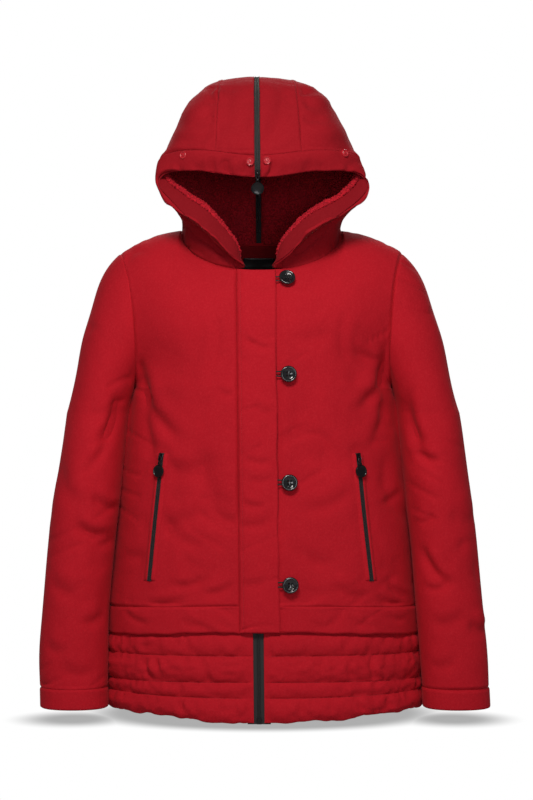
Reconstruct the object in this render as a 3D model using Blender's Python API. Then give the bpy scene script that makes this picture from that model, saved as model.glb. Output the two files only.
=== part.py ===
"""A hooded, lightly padded winter jacket, filled out as it is when worn.

The outer layer is buttoned over a fly and ends in a plain band. A quilted layer with its own zip
shows below the band. The hood has a zip over its crown and a pile lining. Lengths in this file
are millimetres, and become metres where the meshes are made. +Z is up, the front faces -Y, the
wearer's left is +X, and the origin is between the shoulders, level with the points where the neck
meets the shoulder seams. Each surface is worked out for the wearer's left and mirrored.
"""

import math

import bmesh
import bpy
import numpy as np
from mathutils import Matrix, Vector

MM = 0.001
GAP = 0.3  # between pieces that meet at a seam
LEAN = 0.011  # the jacket hangs this much out of plumb, sideways for each millimetre down
SWAY_COLUMNS = ("height", "shift")  # how far both sides sit to the wearer's left of the centre line
SWAY = (
    (-690, 3.0),
    (-620, 1.0),
    (-450, 1.0),
    (-300, 3.5),
    (-142, 4.5),
    (-35, 4.0),
    (10, 5.0),
    (40, 9.5),
    (75, 5.5),
    (150, 3.0),
    (230, 1.5),
)
SWAY_START = (15.0, 110.0)  # no shift at this distance from the centre line, and the whole of it at this one
FRONT, BACK = -1, 1
RIGHT, LEFT = -1, 1
NORMAL_STEP = 0.004  # the part of a surface's row or column over which its slope is read
SEARCH_POINTS = 81  # points of a row that are searched for a given x

for old in list(bpy.data.objects):
    bpy.data.objects.remove(old)


# ---------------------------------------------------------------------------------------------
# Materials
# ---------------------------------------------------------------------------------------------

MATERIALS = {}


def material(name, colour, roughness, metallic=0.0):
    """A Principled material. The colour is sRGB, 0 to 1."""
    made = bpy.data.materials.new(name)
    made.use_nodes = True
    linear = [c / 12.92 if c <= 0.04045 else ((c + 0.055) / 1.055) ** 2.4 for c in colour]
    shader = made.node_tree.nodes["Principled BSDF"]
    shader.inputs["Base Color"].default_value = (*linear, 1.0)
    shader.inputs["Roughness"].default_value = roughness
    shader.inputs["Metallic"].default_value = metallic
    MATERIALS[name] = made


material("shell_cloth", (0.69, 0.11, 0.16), 0.85)
material("pile_lining", (0.45, 0.07, 0.10), 0.95)
material("label_satin", (0.06, 0.06, 0.06), 0.45)
material("zip_tape", (0.16, 0.15, 0.15), 0.6)
material("zip_metal", (0.20, 0.20, 0.21), 0.35, 0.9)
material("button_resin", (0.07, 0.07, 0.075), 0.25)
material("snap_plastic", (0.75, 0.12, 0.17), 0.4)
material("loop_cord", (0.10, 0.08, 0.08), 0.7)


# ---------------------------------------------------------------------------------------------
# Curves, tables and walls
# ---------------------------------------------------------------------------------------------


def smoothstep(low, high, value):
    """0 below low, 1 above high, and smooth between them."""
    share = np.clip((np.asarray(value, float) - low) / (high - low), 0.0, 1.0)
    return share * share * (3.0 - 2.0 * share)


def lookup(columns, rows, key, wanted, at):
    """The column `wanted` of a table where its column `key` is `at`, on a smooth curve through the rows."""
    table = np.array(rows, float)
    xs, ys = table[:, columns.index(key)], table[:, columns.index(wanted)]
    slopes = np.gradient(ys, xs)
    at = np.clip(np.asarray(at, float), xs[0], xs[-1])
    left = np.clip(np.searchsorted(xs, at, side="right") - 1, 0, len(xs) - 2)
    step = xs[left + 1] - xs[left]
    t = (at - xs[left]) / step
    return (
        (2 * t**3 - 3 * t**2 + 1) * ys[left]
        + (t**3 - 2 * t**2 + t) * step * slopes[left]
        + (3 * t**2 - 2 * t**3) * ys[left + 1]
        + (t**3 - t**2) * step * slopes[left + 1]
    )


def hermite(start, end, start_way, end_way, t):
    """The point at share t of the curve that leaves start along start_way and arrives along end_way."""
    t = t[..., None]
    return (
        (2 * t**3 - 3 * t**2 + 1) * start
        + (t**3 - 2 * t**2 + t) * start_way
        + (3 * t**2 - 2 * t**3) * end
        + (t**3 - t**2) * end_way
    )


def unit(vectors):
    return vectors / np.maximum(np.linalg.norm(vectors, axis=-1, keepdims=True), 1e-9)


def stack(x, y, z):
    return np.stack(np.broadcast_arrays(x, y, z), axis=-1).astype(float)


def spline_weights(at, count):
    """The first of the four rows of a padded net that a spline reads at `at`, and the weights of all four."""
    at = np.clip(at, 0.0, count - 1.0)
    first = np.clip(np.floor(at).astype(int), 0, count - 2)
    f = at - first
    weights = (
        -0.5 * f + f**2 - 0.5 * f**3,
        1 - 2.5 * f**2 + 1.5 * f**3,
        0.5 * f + 2 * f**2 - 1.5 * f**3,
        -0.5 * f**2 + 0.5 * f**3,
    )
    return first, weights


def padded_net(net):
    """The net with one more row and column past each edge, which the spline needs there."""
    net = np.concatenate([2 * net[:1] - net[1:2], net, 2 * net[-1:] - net[-2:-1]])
    return np.concatenate([2 * net[:, :1] - net[:, 1:2], net, 2 * net[:, -1:] - net[:, -2:-1]], axis=1)


def net_point(padded, across, along):
    """The point of a smooth surface through a net, at column `across` and row `along`."""
    across, along = np.broadcast_arrays(np.asarray(across, float), np.asarray(along, float))
    row, row_weights = spline_weights(along, padded.shape[0] - 2)
    column, column_weights = spline_weights(across, padded.shape[1] - 2)
    point = np.zeros(row.shape + (3,))
    for i, row_weight in enumerate(row_weights):
        for j, column_weight in enumerate(column_weights):
            point += (row_weight * column_weight)[..., None] * padded[row + i, column + j]
    return point


def normals_of(surface, u, v, u_limits, v_limits):
    """Unit normals of surface(u, v), along du x dv, read a little inside the surface's limits."""
    u = np.clip(u, u_limits[0] + NORMAL_STEP, u_limits[1] - NORMAL_STEP)
    v = np.clip(v, v_limits[0] + NORMAL_STEP, v_limits[1] - NORMAL_STEP)
    du = surface(u + NORMAL_STEP, v) - surface(u - NORMAL_STEP, v)
    dv = surface(u, v + NORMAL_STEP) - surface(u, v - NORMAL_STEP)
    return unit(np.cross(du, dv))


def share_at_x(surface, x, v, low, high):
    """The u between low and high where surface(u, v) is x from the centre line, for each v."""
    shares = np.linspace(low, high, SEARCH_POINTS)
    found = []
    for row in v:
        xs = surface(shares, np.full(SEARCH_POINTS, row))[:, 0]
        order = np.argsort(xs)
        found.append(np.interp(x, xs[order], shares[order]))
    return np.array(found)


def leant(points):
    """Points moved sideways as the jacket leans, and as its sides and hood sit over the centre line."""
    points = np.array(points, float)
    sway = lookup(SWAY_COLUMNS, SWAY, "height", "shift", points[..., 2])
    points[..., 0] += sway * smoothstep(*SWAY_START, np.abs(points[..., 0])) - LEAN * points[..., 2]
    return points


def add_object(name, mesh, material_name):
    made = bmesh.new()
    made.from_mesh(mesh)
    bmesh.ops.recalc_face_normals(made, faces=made.faces)
    if made.calc_volume(signed=True) < 0:
        bmesh.ops.reverse_faces(made, faces=made.faces)
    made.to_mesh(mesh)
    made.free()
    mesh.shade_smooth()
    mesh.set_sharp_from_angle(angle=math.radians(50))
    mesh.materials.append(MATERIALS[material_name])
    node = bpy.data.objects.new(name, mesh)
    bpy.context.scene.collection.objects.link(node)
    return node


def wall(name, outer, inner, material_name, closed=False):
    """One solid between two grids of points, rows by columns. closed joins the last column to the first.

    The inner grid may have fewer rows than the outer one, where only the outer face is modelled finely.
    Every grid is cut along the same diagonal, so that walls that lie on each other keep their distance.
    """
    rows, columns = outer.shape[:2]
    inner_rows = inner.shape[0]
    verts = leant(np.concatenate([outer.reshape(-1, 3), inner.reshape(-1, 3)])) * MM
    base = rows * columns
    last = columns if closed else columns - 1
    faces = []
    for start, count in ((0, rows), (base, inner_rows)):
        for r in range(count - 1):
            for c in range(last):
                a, b = start + r * columns + c, start + r * columns + (c + 1) % columns
                faces += [[a, b, b + columns], [a, b + columns, a + columns]]
    for outer_row, inner_row in ((0, 0), (rows - 1, inner_rows - 1)):
        for c in range(last):
            right = (c + 1) % columns
            a, b = outer_row * columns + c, outer_row * columns + right
            d, e = base + inner_row * columns + right, base + inner_row * columns + c
            faces += [[a, b, d], [a, d, e]]
    for c in () if closed else (0, columns - 1):
        up = [r * columns + c for r in range(rows)]
        down = [base + r * columns + c for r in range(inner_rows)]
        if rows == inner_rows:
            for r in range(rows - 1):
                faces += [[up[r], up[r + 1], down[r + 1]], [up[r], down[r + 1], down[r]]]
        else:
            faces.append(up + down[::-1])
    mesh = bpy.data.meshes.new(name)
    mesh.from_pydata([tuple(v) for v in verts], [], faces)
    return add_object(name, mesh, material_name)


def mirrored(points, side):
    """Points of the wearer's left half, or their mirror on the right half."""
    return points * np.array([side, 1.0, 1.0])


def both_halves(points):
    """A grid of the left half joined to its mirror at its first column, which is on the centre line."""
    return np.concatenate([mirrored(points, RIGHT)[:, :0:-1], points], axis=1)


# ---------------------------------------------------------------------------------------------
# The body's surface: rings up to the arms, rows between the armholes, then the shoulders.
# body_point(face, u, v) has u from the centre line (0) to the side (1), and v from the foot (0)
# to the underarm (1), to the last row that spans the chest (2) and to the neck and shoulders (3).
# ---------------------------------------------------------------------------------------------

SHELL = 6.0  # the outer layer's cloth and wadding
FOOT = -700.0  # lowest ring of the surface, just below the quilted layer's hem
UNDERARM = -228.0  # height of the bottom of the armhole
NECK_HALF_WIDTH = 117.0
NECK_SIDE_HEIGHT = 2.0  # where the shoulder seam meets the neck
SHOULDER_TIP = (204.0, 0.0, -31.0)  # top of the armhole
SHOULDER_BOW = 6.0  # how far the shoulder seam rises above a straight line
ARMHOLE_HALF_DEPTH = 72.0
YOKE_ANGLE = math.radians(108)  # the armhole's angle at the last chest row, from the underarm
YOKE_HEIGHT = {FRONT: -112.0, BACK: -84.0}  # that row's height at the centre
NECK_DEPTH = {FRONT: 100.0, BACK: 88.0}
NECK_HEIGHT = {FRONT: -61.0, BACK: -10.0}
NECK_SHARE = 0.58  # share of the top edge that is neckline, and the rest is shoulder seam
TOP_V = 2.998  # leaves GAP at the shoulder and neck seams
TOP_STEEPNESS = (72.0, 10.0)  # degrees from level at the neck's centre and at the shoulder seam
FULLNESS = 0.60  # 0.55 makes an elliptical ring, and more a squarer one
CHEST_FLATTER = 0.06  # the last chest row's fullness is this much less
ARMHOLE_ARRIVAL = math.radians(58)  # the angle at which the rows come to the armhole
ARMHOLE_PULL = 66.0  # how straight they come
PAST_SIDE = 1.5  # radians round the armhole where its rows no longer arrive as at the side seam

RING_COLUMNS = ("height", "half_width", "front", "back", "front_rise")
RINGS = (
    (-700, 231.5, 158, 148, -10),
    (-655, 230.5, 156, 146, 0),
    (-639, 230.2, 155, 145, 6),
    (-602, 229.5, 152, 142, 5),
    (-577, 228.0, 150, 140, 12),
    (-538, 224.5, 149, 136, 10),
    (-470, 217.0, 147, 131, 4),
    (-400, 208.5, 143, 124, 0),
    (-310, 197.5, 139, 119, 0),
    (-228, 188.0, 137, 121, 0),
    (-160, 184.0, 131, 122, 0),
    (-100, 182.0, 117, 114, 0),
    (-61, 182.0, 101, 104, 0),
    (-10, 182.0, 90, 88, 0),
)
ARMHOLE_COLUMNS = ("angle", "x")  # degrees from the underarm round to the shoulder tip
ARMHOLE = ((0, 188), (30, 183), (60, 180), (90, 182), (120, 188), (150, 197), (180, 204))
ARMHOLE_MIDDLE = np.array([0.0, 0.0, (UNDERARM + SHOULDER_TIP[2]) / 2])
SEAM_ANGLES = np.radians([0, 14, 29, 45, 62, 80, 94, 108, 126, 144, 162, 180])  # of the seam's points


def ring(column, height):
    return lookup(RING_COLUMNS, RINGS, "height", column, height)


def armhole(face, angle):
    """The armhole seam's point at an angle from the underarm (0) to the shoulder tip (pi)."""
    half = (SHOULDER_TIP[2] - UNDERARM) / 2
    x = lookup(ARMHOLE_COLUMNS, ARMHOLE, "angle", "x", np.degrees(angle))
    return stack(x, face * ARMHOLE_HALF_DEPTH * np.sin(angle), ARMHOLE_MIDDLE[2] - half * np.cos(angle))


def to_armhole_middle(points):
    """Directions that the cut edges of the cloth face at the armhole seam."""
    return unit((ARMHOLE_MIDDLE - points) * np.array([0.0, 1.0, 1.0]))


def neckline(face, share):
    """The neck seam's point, from the centre (0) to the shoulder seam (1)."""
    turn = np.asarray(share, float) * math.pi / 2
    lift = (NECK_SIDE_HEIGHT - NECK_HEIGHT[face]) * np.maximum(1 - np.cos(turn), 0) ** 1.1
    return stack(
        NECK_HALF_WIDTH * np.sin(turn), face * NECK_DEPTH[face] * np.cos(turn), NECK_HEIGHT[face] + lift
    )


def top_edge(face, u):
    """The body's upper edge: the neckline, then the shoulder seam out to its tip."""
    along = np.clip((u - NECK_SHARE) / (1 - NECK_SHARE), 0, 1)
    start = np.array([NECK_HALF_WIDTH, 0.0, NECK_SIDE_HEIGHT])
    seam = start + along[..., None] * (np.array(SHOULDER_TIP) - start)
    seam[..., 2] += SHOULDER_BOW * np.sin(math.pi * along)
    on_neck = (u < NECK_SHARE)[..., None]
    return np.where(on_neck, neckline(face, np.clip(u / NECK_SHARE, 0, 1)), seam)


def chest_row(face, u, v):
    """A point of a row from the centre line to the side seam or the armhole, where v is 0 to 2."""
    low = FOOT + (UNDERARM - FOOT) * np.clip(v, 0, 1)
    high = UNDERARM + (YOKE_HEIGHT[face] - UNDERARM) * np.clip(v - 1, 0, 1)
    height = np.where(v < 1, low, high)
    depth = ring("front" if face == FRONT else "back", height)
    rise = ring("front_rise", low) if face == FRONT else 0.0 * low
    angle = YOKE_ANGLE * np.clip(v - 1, 0, 1)
    below = (v < 1)[..., None]
    edge = np.where(below, stack(ring("half_width", low), 0.0 * low, low), armhole(face, angle))
    width = edge[..., 0]
    centre = stack(0.0 * depth, face * depth, height + rise)
    fullness = FULLNESS - CHEST_FLATTER * np.clip(v - 1, 0, 1)
    near_centre = stack(fullness * width, face * depth, height + rise)
    round_side = stack(width, face * FULLNESS * depth, edge[..., 2])
    arrival = np.array([-math.sin(ARMHOLE_ARRIVAL), face * math.cos(ARMHOLE_ARRIVAL), 0.0])
    at_armhole = edge + ARMHOLE_PULL * arrival
    past_side = smoothstep(0, PAST_SIDE, angle)[..., None]
    near_edge = (1 - past_side) * round_side + past_side * at_armhole
    t = u[..., None]
    return (
        (1 - t) ** 3 * centre
        + 3 * (1 - t) ** 2 * t * near_centre
        + 3 * (1 - t) * t**2 * near_edge
        + t**3 * edge
    )


def shoulder_row(face, u, upper):
    """A point above the last chest row, where upper is 0 to 1 on the way to the neck and shoulders."""
    yoke = chest_row(face, u, np.full_like(upper, 2.0))
    before = chest_row(face, u, np.full_like(upper, 1.97))
    top = top_edge(face, u)
    chord = np.linalg.norm(top - yoke, axis=-1, keepdims=True)
    centre, shoulder = TOP_STEEPNESS
    steepness = np.radians(centre + (shoulder - centre) * smoothstep(0.0, NECK_SHARE, u))
    arrive = stack(0.0 * u, -face * np.cos(steepness), np.sin(steepness))
    return hermite(yoke, top, unit(yoke - before) * chord, arrive * chord, upper)


def body_point(face, u, v):
    u, v = np.broadcast_arrays(np.clip(np.asarray(u, float), 0, 1), np.clip(np.asarray(v, float), 0, 3))
    upper = np.clip(v - 2, 0, 1)
    at_arm = armhole(face, YOKE_ANGLE + (math.pi - YOKE_ANGLE) * upper)
    missed = at_arm - shoulder_row(face, np.ones_like(u), upper)
    shoulder = shoulder_row(face, u, upper) + missed * smoothstep(0.5, 1, u)[..., None]
    return np.where((v < 2)[..., None], chest_row(face, u, np.clip(v, 0, 2)), shoulder)


def body_inward(face, u, v):
    """Unit directions from the body's surface into its cloth, turned along each cut edge at its seam."""
    surface = body_point(face, u, v)
    inward = normals_of(lambda a, b: body_point(face, a, b), u, v, (0, 1), (0, 3)) * face
    at_arm = ((u > 0.9995) & (v > 1.0))[..., None]
    at_top = v > 2.99
    inward = np.where(at_arm, to_armhole_middle(surface), inward)
    to_axis = unit(surface * np.array([-1.0, -1.0, 0.0]))
    inward = np.where((at_top & (u < NECK_SHARE))[..., None], to_axis, inward)
    return np.where((at_top & (u >= NECK_SHARE))[..., None], np.array([0.0, 0.0, -1.0]), inward)


def height_to_v(height):
    """The v of a row below the arms, from its height at the side."""
    return (np.asarray(height, float) - FOOT) / (UNDERARM - FOOT)


def seam_rows():
    """The v of the rows that end at the armhole seam's points."""
    below = 1 + SEAM_ANGLES / YOKE_ANGLE
    above = 2 + (SEAM_ANGLES - YOKE_ANGLE) / (math.pi - YOKE_ANGLE)
    return np.minimum(np.where(SEAM_ANGLES <= YOKE_ANGLE, below, above), TOP_V)


def front_share_at_x(x, v):
    return share_at_x(lambda a, b: body_point(FRONT, a, b), x, v, 0.0, 0.85)


# ---------------------------------------------------------------------------------------------
# Outer layer: fronts, back, band and the fly that laps over the left front
# ---------------------------------------------------------------------------------------------

SEAM_HEIGHT = -538.0  # the band's seam, at the sides
BAND_END = -577.0  # the band's lower edge, at the sides
SEAM_V_GAP = GAP / (UNDERARM - FOOT)
SIDE_U = 0.9992  # leaves GAP at the side seams
FLY_SEAM_X, FLY_EDGE_X, UNDERLAP_X = -32.0, 23.5, -8.0  # the fly's two edges, and the edge that it covers
FLY_STEP, FLY_WALL = 2.2, 5.0  # how far the fly stands above the front, and its thickness
UNDER_FLY = 3.2  # how far the left front sinks under the fly
FLY_SLOPE = 10.0  # it comes back up over this width beside the fly
PANEL_COLUMNS = 6  # from the centre to the neck's corner, and again from there to the side
BACK_COLUMNS = 5
BAND_COLUMNS = 8

FOLD_COLUMNS = ("side", "x0", "z0", "x1", "z1", "width", "depth")  # the largest creases of the front
FOLDS = (
    (RIGHT, 168, -205, 120, -300, 24, 4.0),
    (RIGHT, 60, -250, 95, -470, 30, 2.5),
    (LEFT, 172, -190, 130, -255, 20, 4.5),
    (LEFT, 55, -250, 120, -400, 24, 4.0),
    (LEFT, 160, -330, 188, -440, 20, 3.0),
)


def fold_depth(side, points):
    """How far the front sinks into its creases at each point of the left half or its mirror."""
    depth = np.zeros(points.shape[:-1])
    for fold in FOLDS:
        row = dict(zip(FOLD_COLUMNS, fold))
        if row["side"] != side:
            continue
        way = np.array([row["x1"] - row["x0"], row["z1"] - row["z0"]], float)
        length = np.linalg.norm(way)
        x, z = points[..., 0] - row["x0"], points[..., 2] - row["z0"]
        along = (x * way[0] + z * way[1]) / length**2
        across = (x * way[1] - z * way[0]) / length
        fade = smoothstep(-0.1, 0.25, along) * (1 - smoothstep(0.7, 1.1, along))
        depth += row["depth"] * fade * np.exp(-((across / row["width"]) ** 2))
    return depth


def front_point(side, u, v, out=0.0):
    """A point of a front's outer face, sunk under the fly and in its creases, then moved out by `out`."""
    surface = body_point(FRONT, u, v)
    inward = body_inward(FRONT, u, v)
    sunk = fold_depth(side, surface)
    if side == LEFT:
        sunk = sunk + UNDER_FLY * (1 - smoothstep(FLY_EDGE_X + 1, FLY_EDGE_X + FLY_SLOPE, surface[..., 0]))
    return surface + inward * (sunk - out)[..., None]


def front_grid(side, rows, columns):
    """The u and v of a front panel, whose first column is at the fly's seam or under the fly."""
    starts = (-FLY_SEAM_X + GAP,) if side == RIGHT else (0.0, 12.0, FLY_EDGE_X + 1.0, FLY_EDGE_X + FLY_SLOPE)
    start = np.stack([front_share_at_x(x, rows) for x in starts], axis=1)
    more = np.linspace(0, 1, columns + 1)[1:]
    near = np.concatenate([start, start[:, -1:] + (NECK_SHARE - start[:, -1:]) * more], axis=1)
    far = NECK_SHARE + (1 - NECK_SHARE) * np.linspace(0, 1, columns + 1)[1:]
    u = np.concatenate([near, np.broadcast_to(far, (len(rows), columns))], axis=1)
    u[rows <= 1.0, -1] = SIDE_U
    return u, np.broadcast_to(rows[:, None], u.shape)


def back_grid(rows, columns):
    half = np.concatenate([np.linspace(0, NECK_SHARE, columns), np.linspace(NECK_SHARE, 1, columns + 1)[1:]])
    u = np.broadcast_to(half, (len(rows), len(half))).copy()
    u[rows <= 1.0, -1] = SIDE_U
    return u, np.broadcast_to(rows[:, None], u.shape)


def front_panel(name, side, rows, columns):
    u, v = front_grid(side, rows, columns)
    outer = front_point(side, u, v)
    inner = body_point(FRONT, u, v) + body_inward(FRONT, u, v) * SHELL
    if side == LEFT:
        strip = np.array([UNDERLAP_X, 0.0, 0.0])
        outer = np.concatenate([outer[:, :1] + strip, outer], axis=1)
        inner = np.concatenate([inner[:, :1] + strip, inner], axis=1)
    wall(name, mirrored(outer, side), mirrored(inner, side), "shell_cloth")


def back_panel(name, rows, columns):
    u, v = back_grid(rows, columns)
    outer = body_point(BACK, u, v)
    inner = outer + body_inward(BACK, u, v) * SHELL
    wall(name, both_halves(outer), both_halves(inner), "shell_cloth")


PANEL_ROWS = np.concatenate([np.linspace(height_to_v(SEAM_HEIGHT) + SEAM_V_GAP, 1.0, 7), seam_rows()[1:]])
BAND_ROWS = np.linspace(height_to_v(BAND_END), height_to_v(SEAM_HEIGHT), 4)


def make_outer_layer():
    for side, word in ((RIGHT, "right"), (LEFT, "left")):
        front_panel("front_" + word, side, PANEL_ROWS, PANEL_COLUMNS)
        front_panel("band_" + word, side, BAND_ROWS, BAND_COLUMNS)
    back_panel("back", PANEL_ROWS, BACK_COLUMNS)
    back_panel("band_back", BAND_ROWS, BAND_COLUMNS)


def make_fly():
    """The strip from the fly's seam, sewn to the right front, to its free edge over the left front."""
    rows = np.concatenate([BAND_ROWS[:-1], PANEL_ROWS])
    outer = []
    inner = []
    for x in np.linspace(FLY_SEAM_X, FLY_EDGE_X, 6):
        u = front_share_at_x(abs(x), rows)[:, None]
        v = rows[:, None]
        way = mirrored(body_inward(FRONT, u, v), np.sign(x))[:, 0]
        surface = mirrored(body_point(FRONT, u, v), np.sign(x))[:, 0]
        surface[:, 0] = x
        outer.append(surface - way * FLY_STEP)
        inner.append(surface + way * (FLY_WALL - FLY_STEP))
    wall("placket", np.stack(outer, axis=1), np.stack(inner, axis=1), "shell_cloth")


make_outer_layer()
make_fly()


# ---------------------------------------------------------------------------------------------
# Quilted layer, which hangs below the band from its inner face, with a zip at the centre front
# ---------------------------------------------------------------------------------------------

QUILT_TOP, QUILT_HEM = -557.0, -682.0
QUILT_WALL = 5.0
QUILT_INSET = SHELL + 1.0  # its sewn lines lie just behind the band's inner face
QUILT_COLUMNS = ("top", "bottom", "puff")  # the heights of a row's two sewn lines, and how far it stands out
QUILT_ROWS = ((-579, -602, 4.6), (-602, -639, 5.6), (-639, -655, 3.4), (-655, -682, 5.2))
QUILT_PLAIN_ROWS = (-682, -655, -639, -602, -579, -557)  # rows of its inner face
QUILT_STEPS = (0.0, 0.14, 0.5, 0.86)  # shares of a row's height where its outer face has points
PUCKER_COLUMNS = ("waves", "phase", "share")  # waves from the centre to the side, and their part of the puff
PUCKERS = ((5.0, 0.4, 0.10), (8.5, 2.1, 0.07))
PUCKER_SHIFT = 1.9  # radians from one quilt row to the next, so that the waves don't line up
DOME_POWER = 0.7  # 1 makes a row a plain arch, and less a fuller one
HEM_ZIP_X, HEM_ZIP_HALF, HEM_TAPE_HALF = -6.0, 7.5, 16.0
HEM_TAPE, HEM_TAPE_BELOW, HEM_TAPE_CLEAR = 1.8, 2.0, 0.5  # its thickness, past the hem, behind the quilt
BOX_HALF, BOX_DEPTH, BOX_ENDS = 3.4, 3.6, (0.4, 9.0)  # the stop box: half width, depth, its ends' heights
ZIP_EDGE_WALL = 2.0  # the quilt's thickness where it is sewn to the tape
ZIP_EDGE_PUFF, PUFFED_AT = 0.25, 18.0  # share of the puff at the tape, and all of it this far away
ZIP_EDGE_THICKENS = (11.0, 26.0)  # the quilt grows from ZIP_EDGE_WALL to QUILT_WALL between these distances


def quilt_puff(height, u, row_number):
    """How far the quilt stands out at a height, with slow waves along each row."""
    puff = np.zeros(np.broadcast(height, u).shape)
    for number, quilt_row in enumerate(QUILT_ROWS):
        row = dict(zip(QUILT_COLUMNS, quilt_row))
        t = (row["top"] - height) / (row["top"] - row["bottom"])
        wave = np.ones(np.shape(u))
        for pucker in PUCKERS:
            part = dict(zip(PUCKER_COLUMNS, pucker))
            turn = part["waves"] * math.pi * u + part["phase"] + PUCKER_SHIFT * number
            wave = wave + part["share"] * np.sin(turn)
        inside = (t > 0) & (t < 1) & (number == row_number)
        dome = np.sin(math.pi * np.clip(t, 0, 1)) ** DOME_POWER
        puff += np.where(inside, row["puff"] * wave * dome, 0.0)
    return puff


def quilt_heights():
    """The outer face's rows from the hem up, each with the number of the quilt row that it is in."""
    rows = [(QUILT_HEM, -1)]
    for number in reversed(range(len(QUILT_ROWS))):
        top, bottom = QUILT_ROWS[number][:2]
        rows += [(bottom + share * (top - bottom), number) for share in QUILT_STEPS[1:]] + [(top, -1)]
    return rows + [(QUILT_TOP, -1)]


def quilt_row(face, height, u_of_v, inset, row_number=-1, sewn_to_zip=False):
    """One row of points of a quilt piece, `inset` behind the jacket's surface where it is sewn flat."""
    v = height_to_v(height)
    u = u_of_v(np.array([v]))
    surface = body_point(face, u, np.full_like(u, v))
    puff = quilt_puff(height, u, row_number)
    from_zip = surface[..., 0] - surface[:, :1, 0]
    if sewn_to_zip:
        puff = puff * (ZIP_EDGE_PUFF + (1 - ZIP_EDGE_PUFF) * smoothstep(0.0, PUFFED_AT, from_zip))
        if inset > QUILT_INSET:
            inset = inset - (QUILT_WALL - ZIP_EDGE_WALL) * (1 - smoothstep(*ZIP_EDGE_THICKENS, from_zip))
    return surface + body_inward(face, u, np.full_like(u, v)) * (inset - puff)[..., None]


def quilt_surfaces(face, u_of_v, sewn_to_zip=False):
    outer = [
        quilt_row(face, height, u_of_v, QUILT_INSET, number, sewn_to_zip)
        for height, number in quilt_heights()
    ]
    deep = QUILT_INSET + QUILT_WALL
    inner = [quilt_row(face, height, u_of_v, deep, -1, sewn_to_zip) for height in QUILT_PLAIN_ROWS]
    return np.concatenate(outer), np.concatenate(inner)


def make_quilt():
    spread = np.concatenate([[0, 0.027, 0.065], np.linspace(0.11, 1, 13)])  # finer beside the tape
    for side, word in ((RIGHT, "right"), (LEFT, "left")):
        edge_x = HEM_ZIP_HALF - side * -HEM_ZIP_X

        def columns(v, edge_x=edge_x):
            edge = front_share_at_x(edge_x, v)[:, None]
            return edge + (SIDE_U - edge) * spread

        outer, inner = quilt_surfaces(FRONT, columns, True)
        wall("quilt_" + word, mirrored(outer, side), mirrored(inner, side), "shell_cloth")
    outer, inner = quilt_surfaces(BACK, lambda v: np.linspace(0, SIDE_U, 14)[None])
    wall("quilt_back", both_halves(outer), both_halves(inner), "shell_cloth")


def make_hem_zip():
    """The tape behind the quilt's front edges, and the box that ends its chain."""
    heights = np.array((QUILT_HEM - HEM_TAPE_BELOW,) + QUILT_PLAIN_ROWS[1:])
    depth = QUILT_INSET + ZIP_EDGE_WALL + HEM_TAPE_CLEAR
    grid = []
    for x in HEM_ZIP_X + HEM_TAPE_HALF * np.linspace(-1, 1, 4):
        v = height_to_v(heights)
        u = front_share_at_x(abs(x), v)[:, None]
        surface = body_point(FRONT, u, v[:, None])[:, 0]
        surface[:, 0] = x
        grid.append(surface + np.array([0.0, depth, 0.0]))
    outer = np.stack(grid, axis=1)
    wall("hem_zip_tape", outer, outer + np.array([0.0, HEM_TAPE, 0.0]), "zip_tape")
    foot = outer[0].mean(axis=0) + np.array([0.0, -GAP, 0.0])
    half, deep, low, high = BOX_HALF, BOX_DEPTH, *BOX_ENDS
    front = [[foot + (dx, -deep, dz) for dx in (-half, half)] for dz in (low, high)]
    behind = [[foot + (dx, 0.0, dz) for dx in (-half, half)] for dz in (low, high)]
    wall("hem_zip_box", np.array(front), np.array(behind), "zip_metal")


make_quilt()
make_hem_zip()


# ---------------------------------------------------------------------------------------------
# Sleeves. sleeve_point(angle, w) has the angle round the tube from the underarm, and w from the
# armhole seam (0) to the upper arm's first ring (1) and on down to the hem of the cuff (2).
# ---------------------------------------------------------------------------------------------

SLEEVE_WALL, CUFF_WALL = 6.0, 5.0
SEAM_CLEAR = 0.6  # sideways from the armhole seam, which leaves about GAP between the slanting edges
ARM_TOP, ARM_END = -262.0, -679.0
CUFF_SEAM = -650.0
CUFF_STEP = 1.2  # the cuff stands this far outside the sleeve
SLEEVE_POWER = 2.15  # 2 makes an elliptical ring
LEAVES_OUTWARDS, LEAVES_DOWNWARDS = (0.15, 0.85), (0.95, 0.70)  # the head's slope at the seam: underarm, tip
LEAVES_FORWARDS = 0.12  # and at its front and back
ARRIVES_OUTWARDS = (0.12, 0.32)  # its slope at the arm's first ring: inner side, outer side
CUFF_STEP_WIDTH = 12.0  # of the cuff's first row, below its seam
SLEEVE_COLUMNS = ("height", "outer", "inner", "middle_y", "half_depth")
SLEEVE = (
    (-684, 319.8, 223.1, -60, 43.5),
    (-650, 319.2, 222.8, -59, 44.5),
    (-605, 318.5, 221.3, -57, 47),
    (-545, 314.3, 218.4, -53, 50),
    (-480, 308.5, 213.2, -48, 54),
    (-400, 301.0, 205.6, -40, 59),
    (-330, 291.5, 199.2, -29, 64.5),
    (-290, 286.5, 195.6, -21, 67),
    (-262, 283.0, 192.7, -14, 68),
)
CREASE_COLUMNS = ("side", "height", "angle", "slope", "reach", "width", "depth")
CREASES = (  # soft troughs round the arm: slope is the rise in mm over a half turn, reach is in degrees
    (RIGHT, -437, 60, -30, 55, 15, 3.5),
    (RIGHT, -330, 130, 25, 60, 18, 2.5),
    (LEFT, -300, 40, 20, 45, 15, 3.0),
    (LEFT, -505, 60, -55, 60, 15, 3.5),
    (LEFT, -575, 150, 25, 50, 14, 2.5),
)


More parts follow.
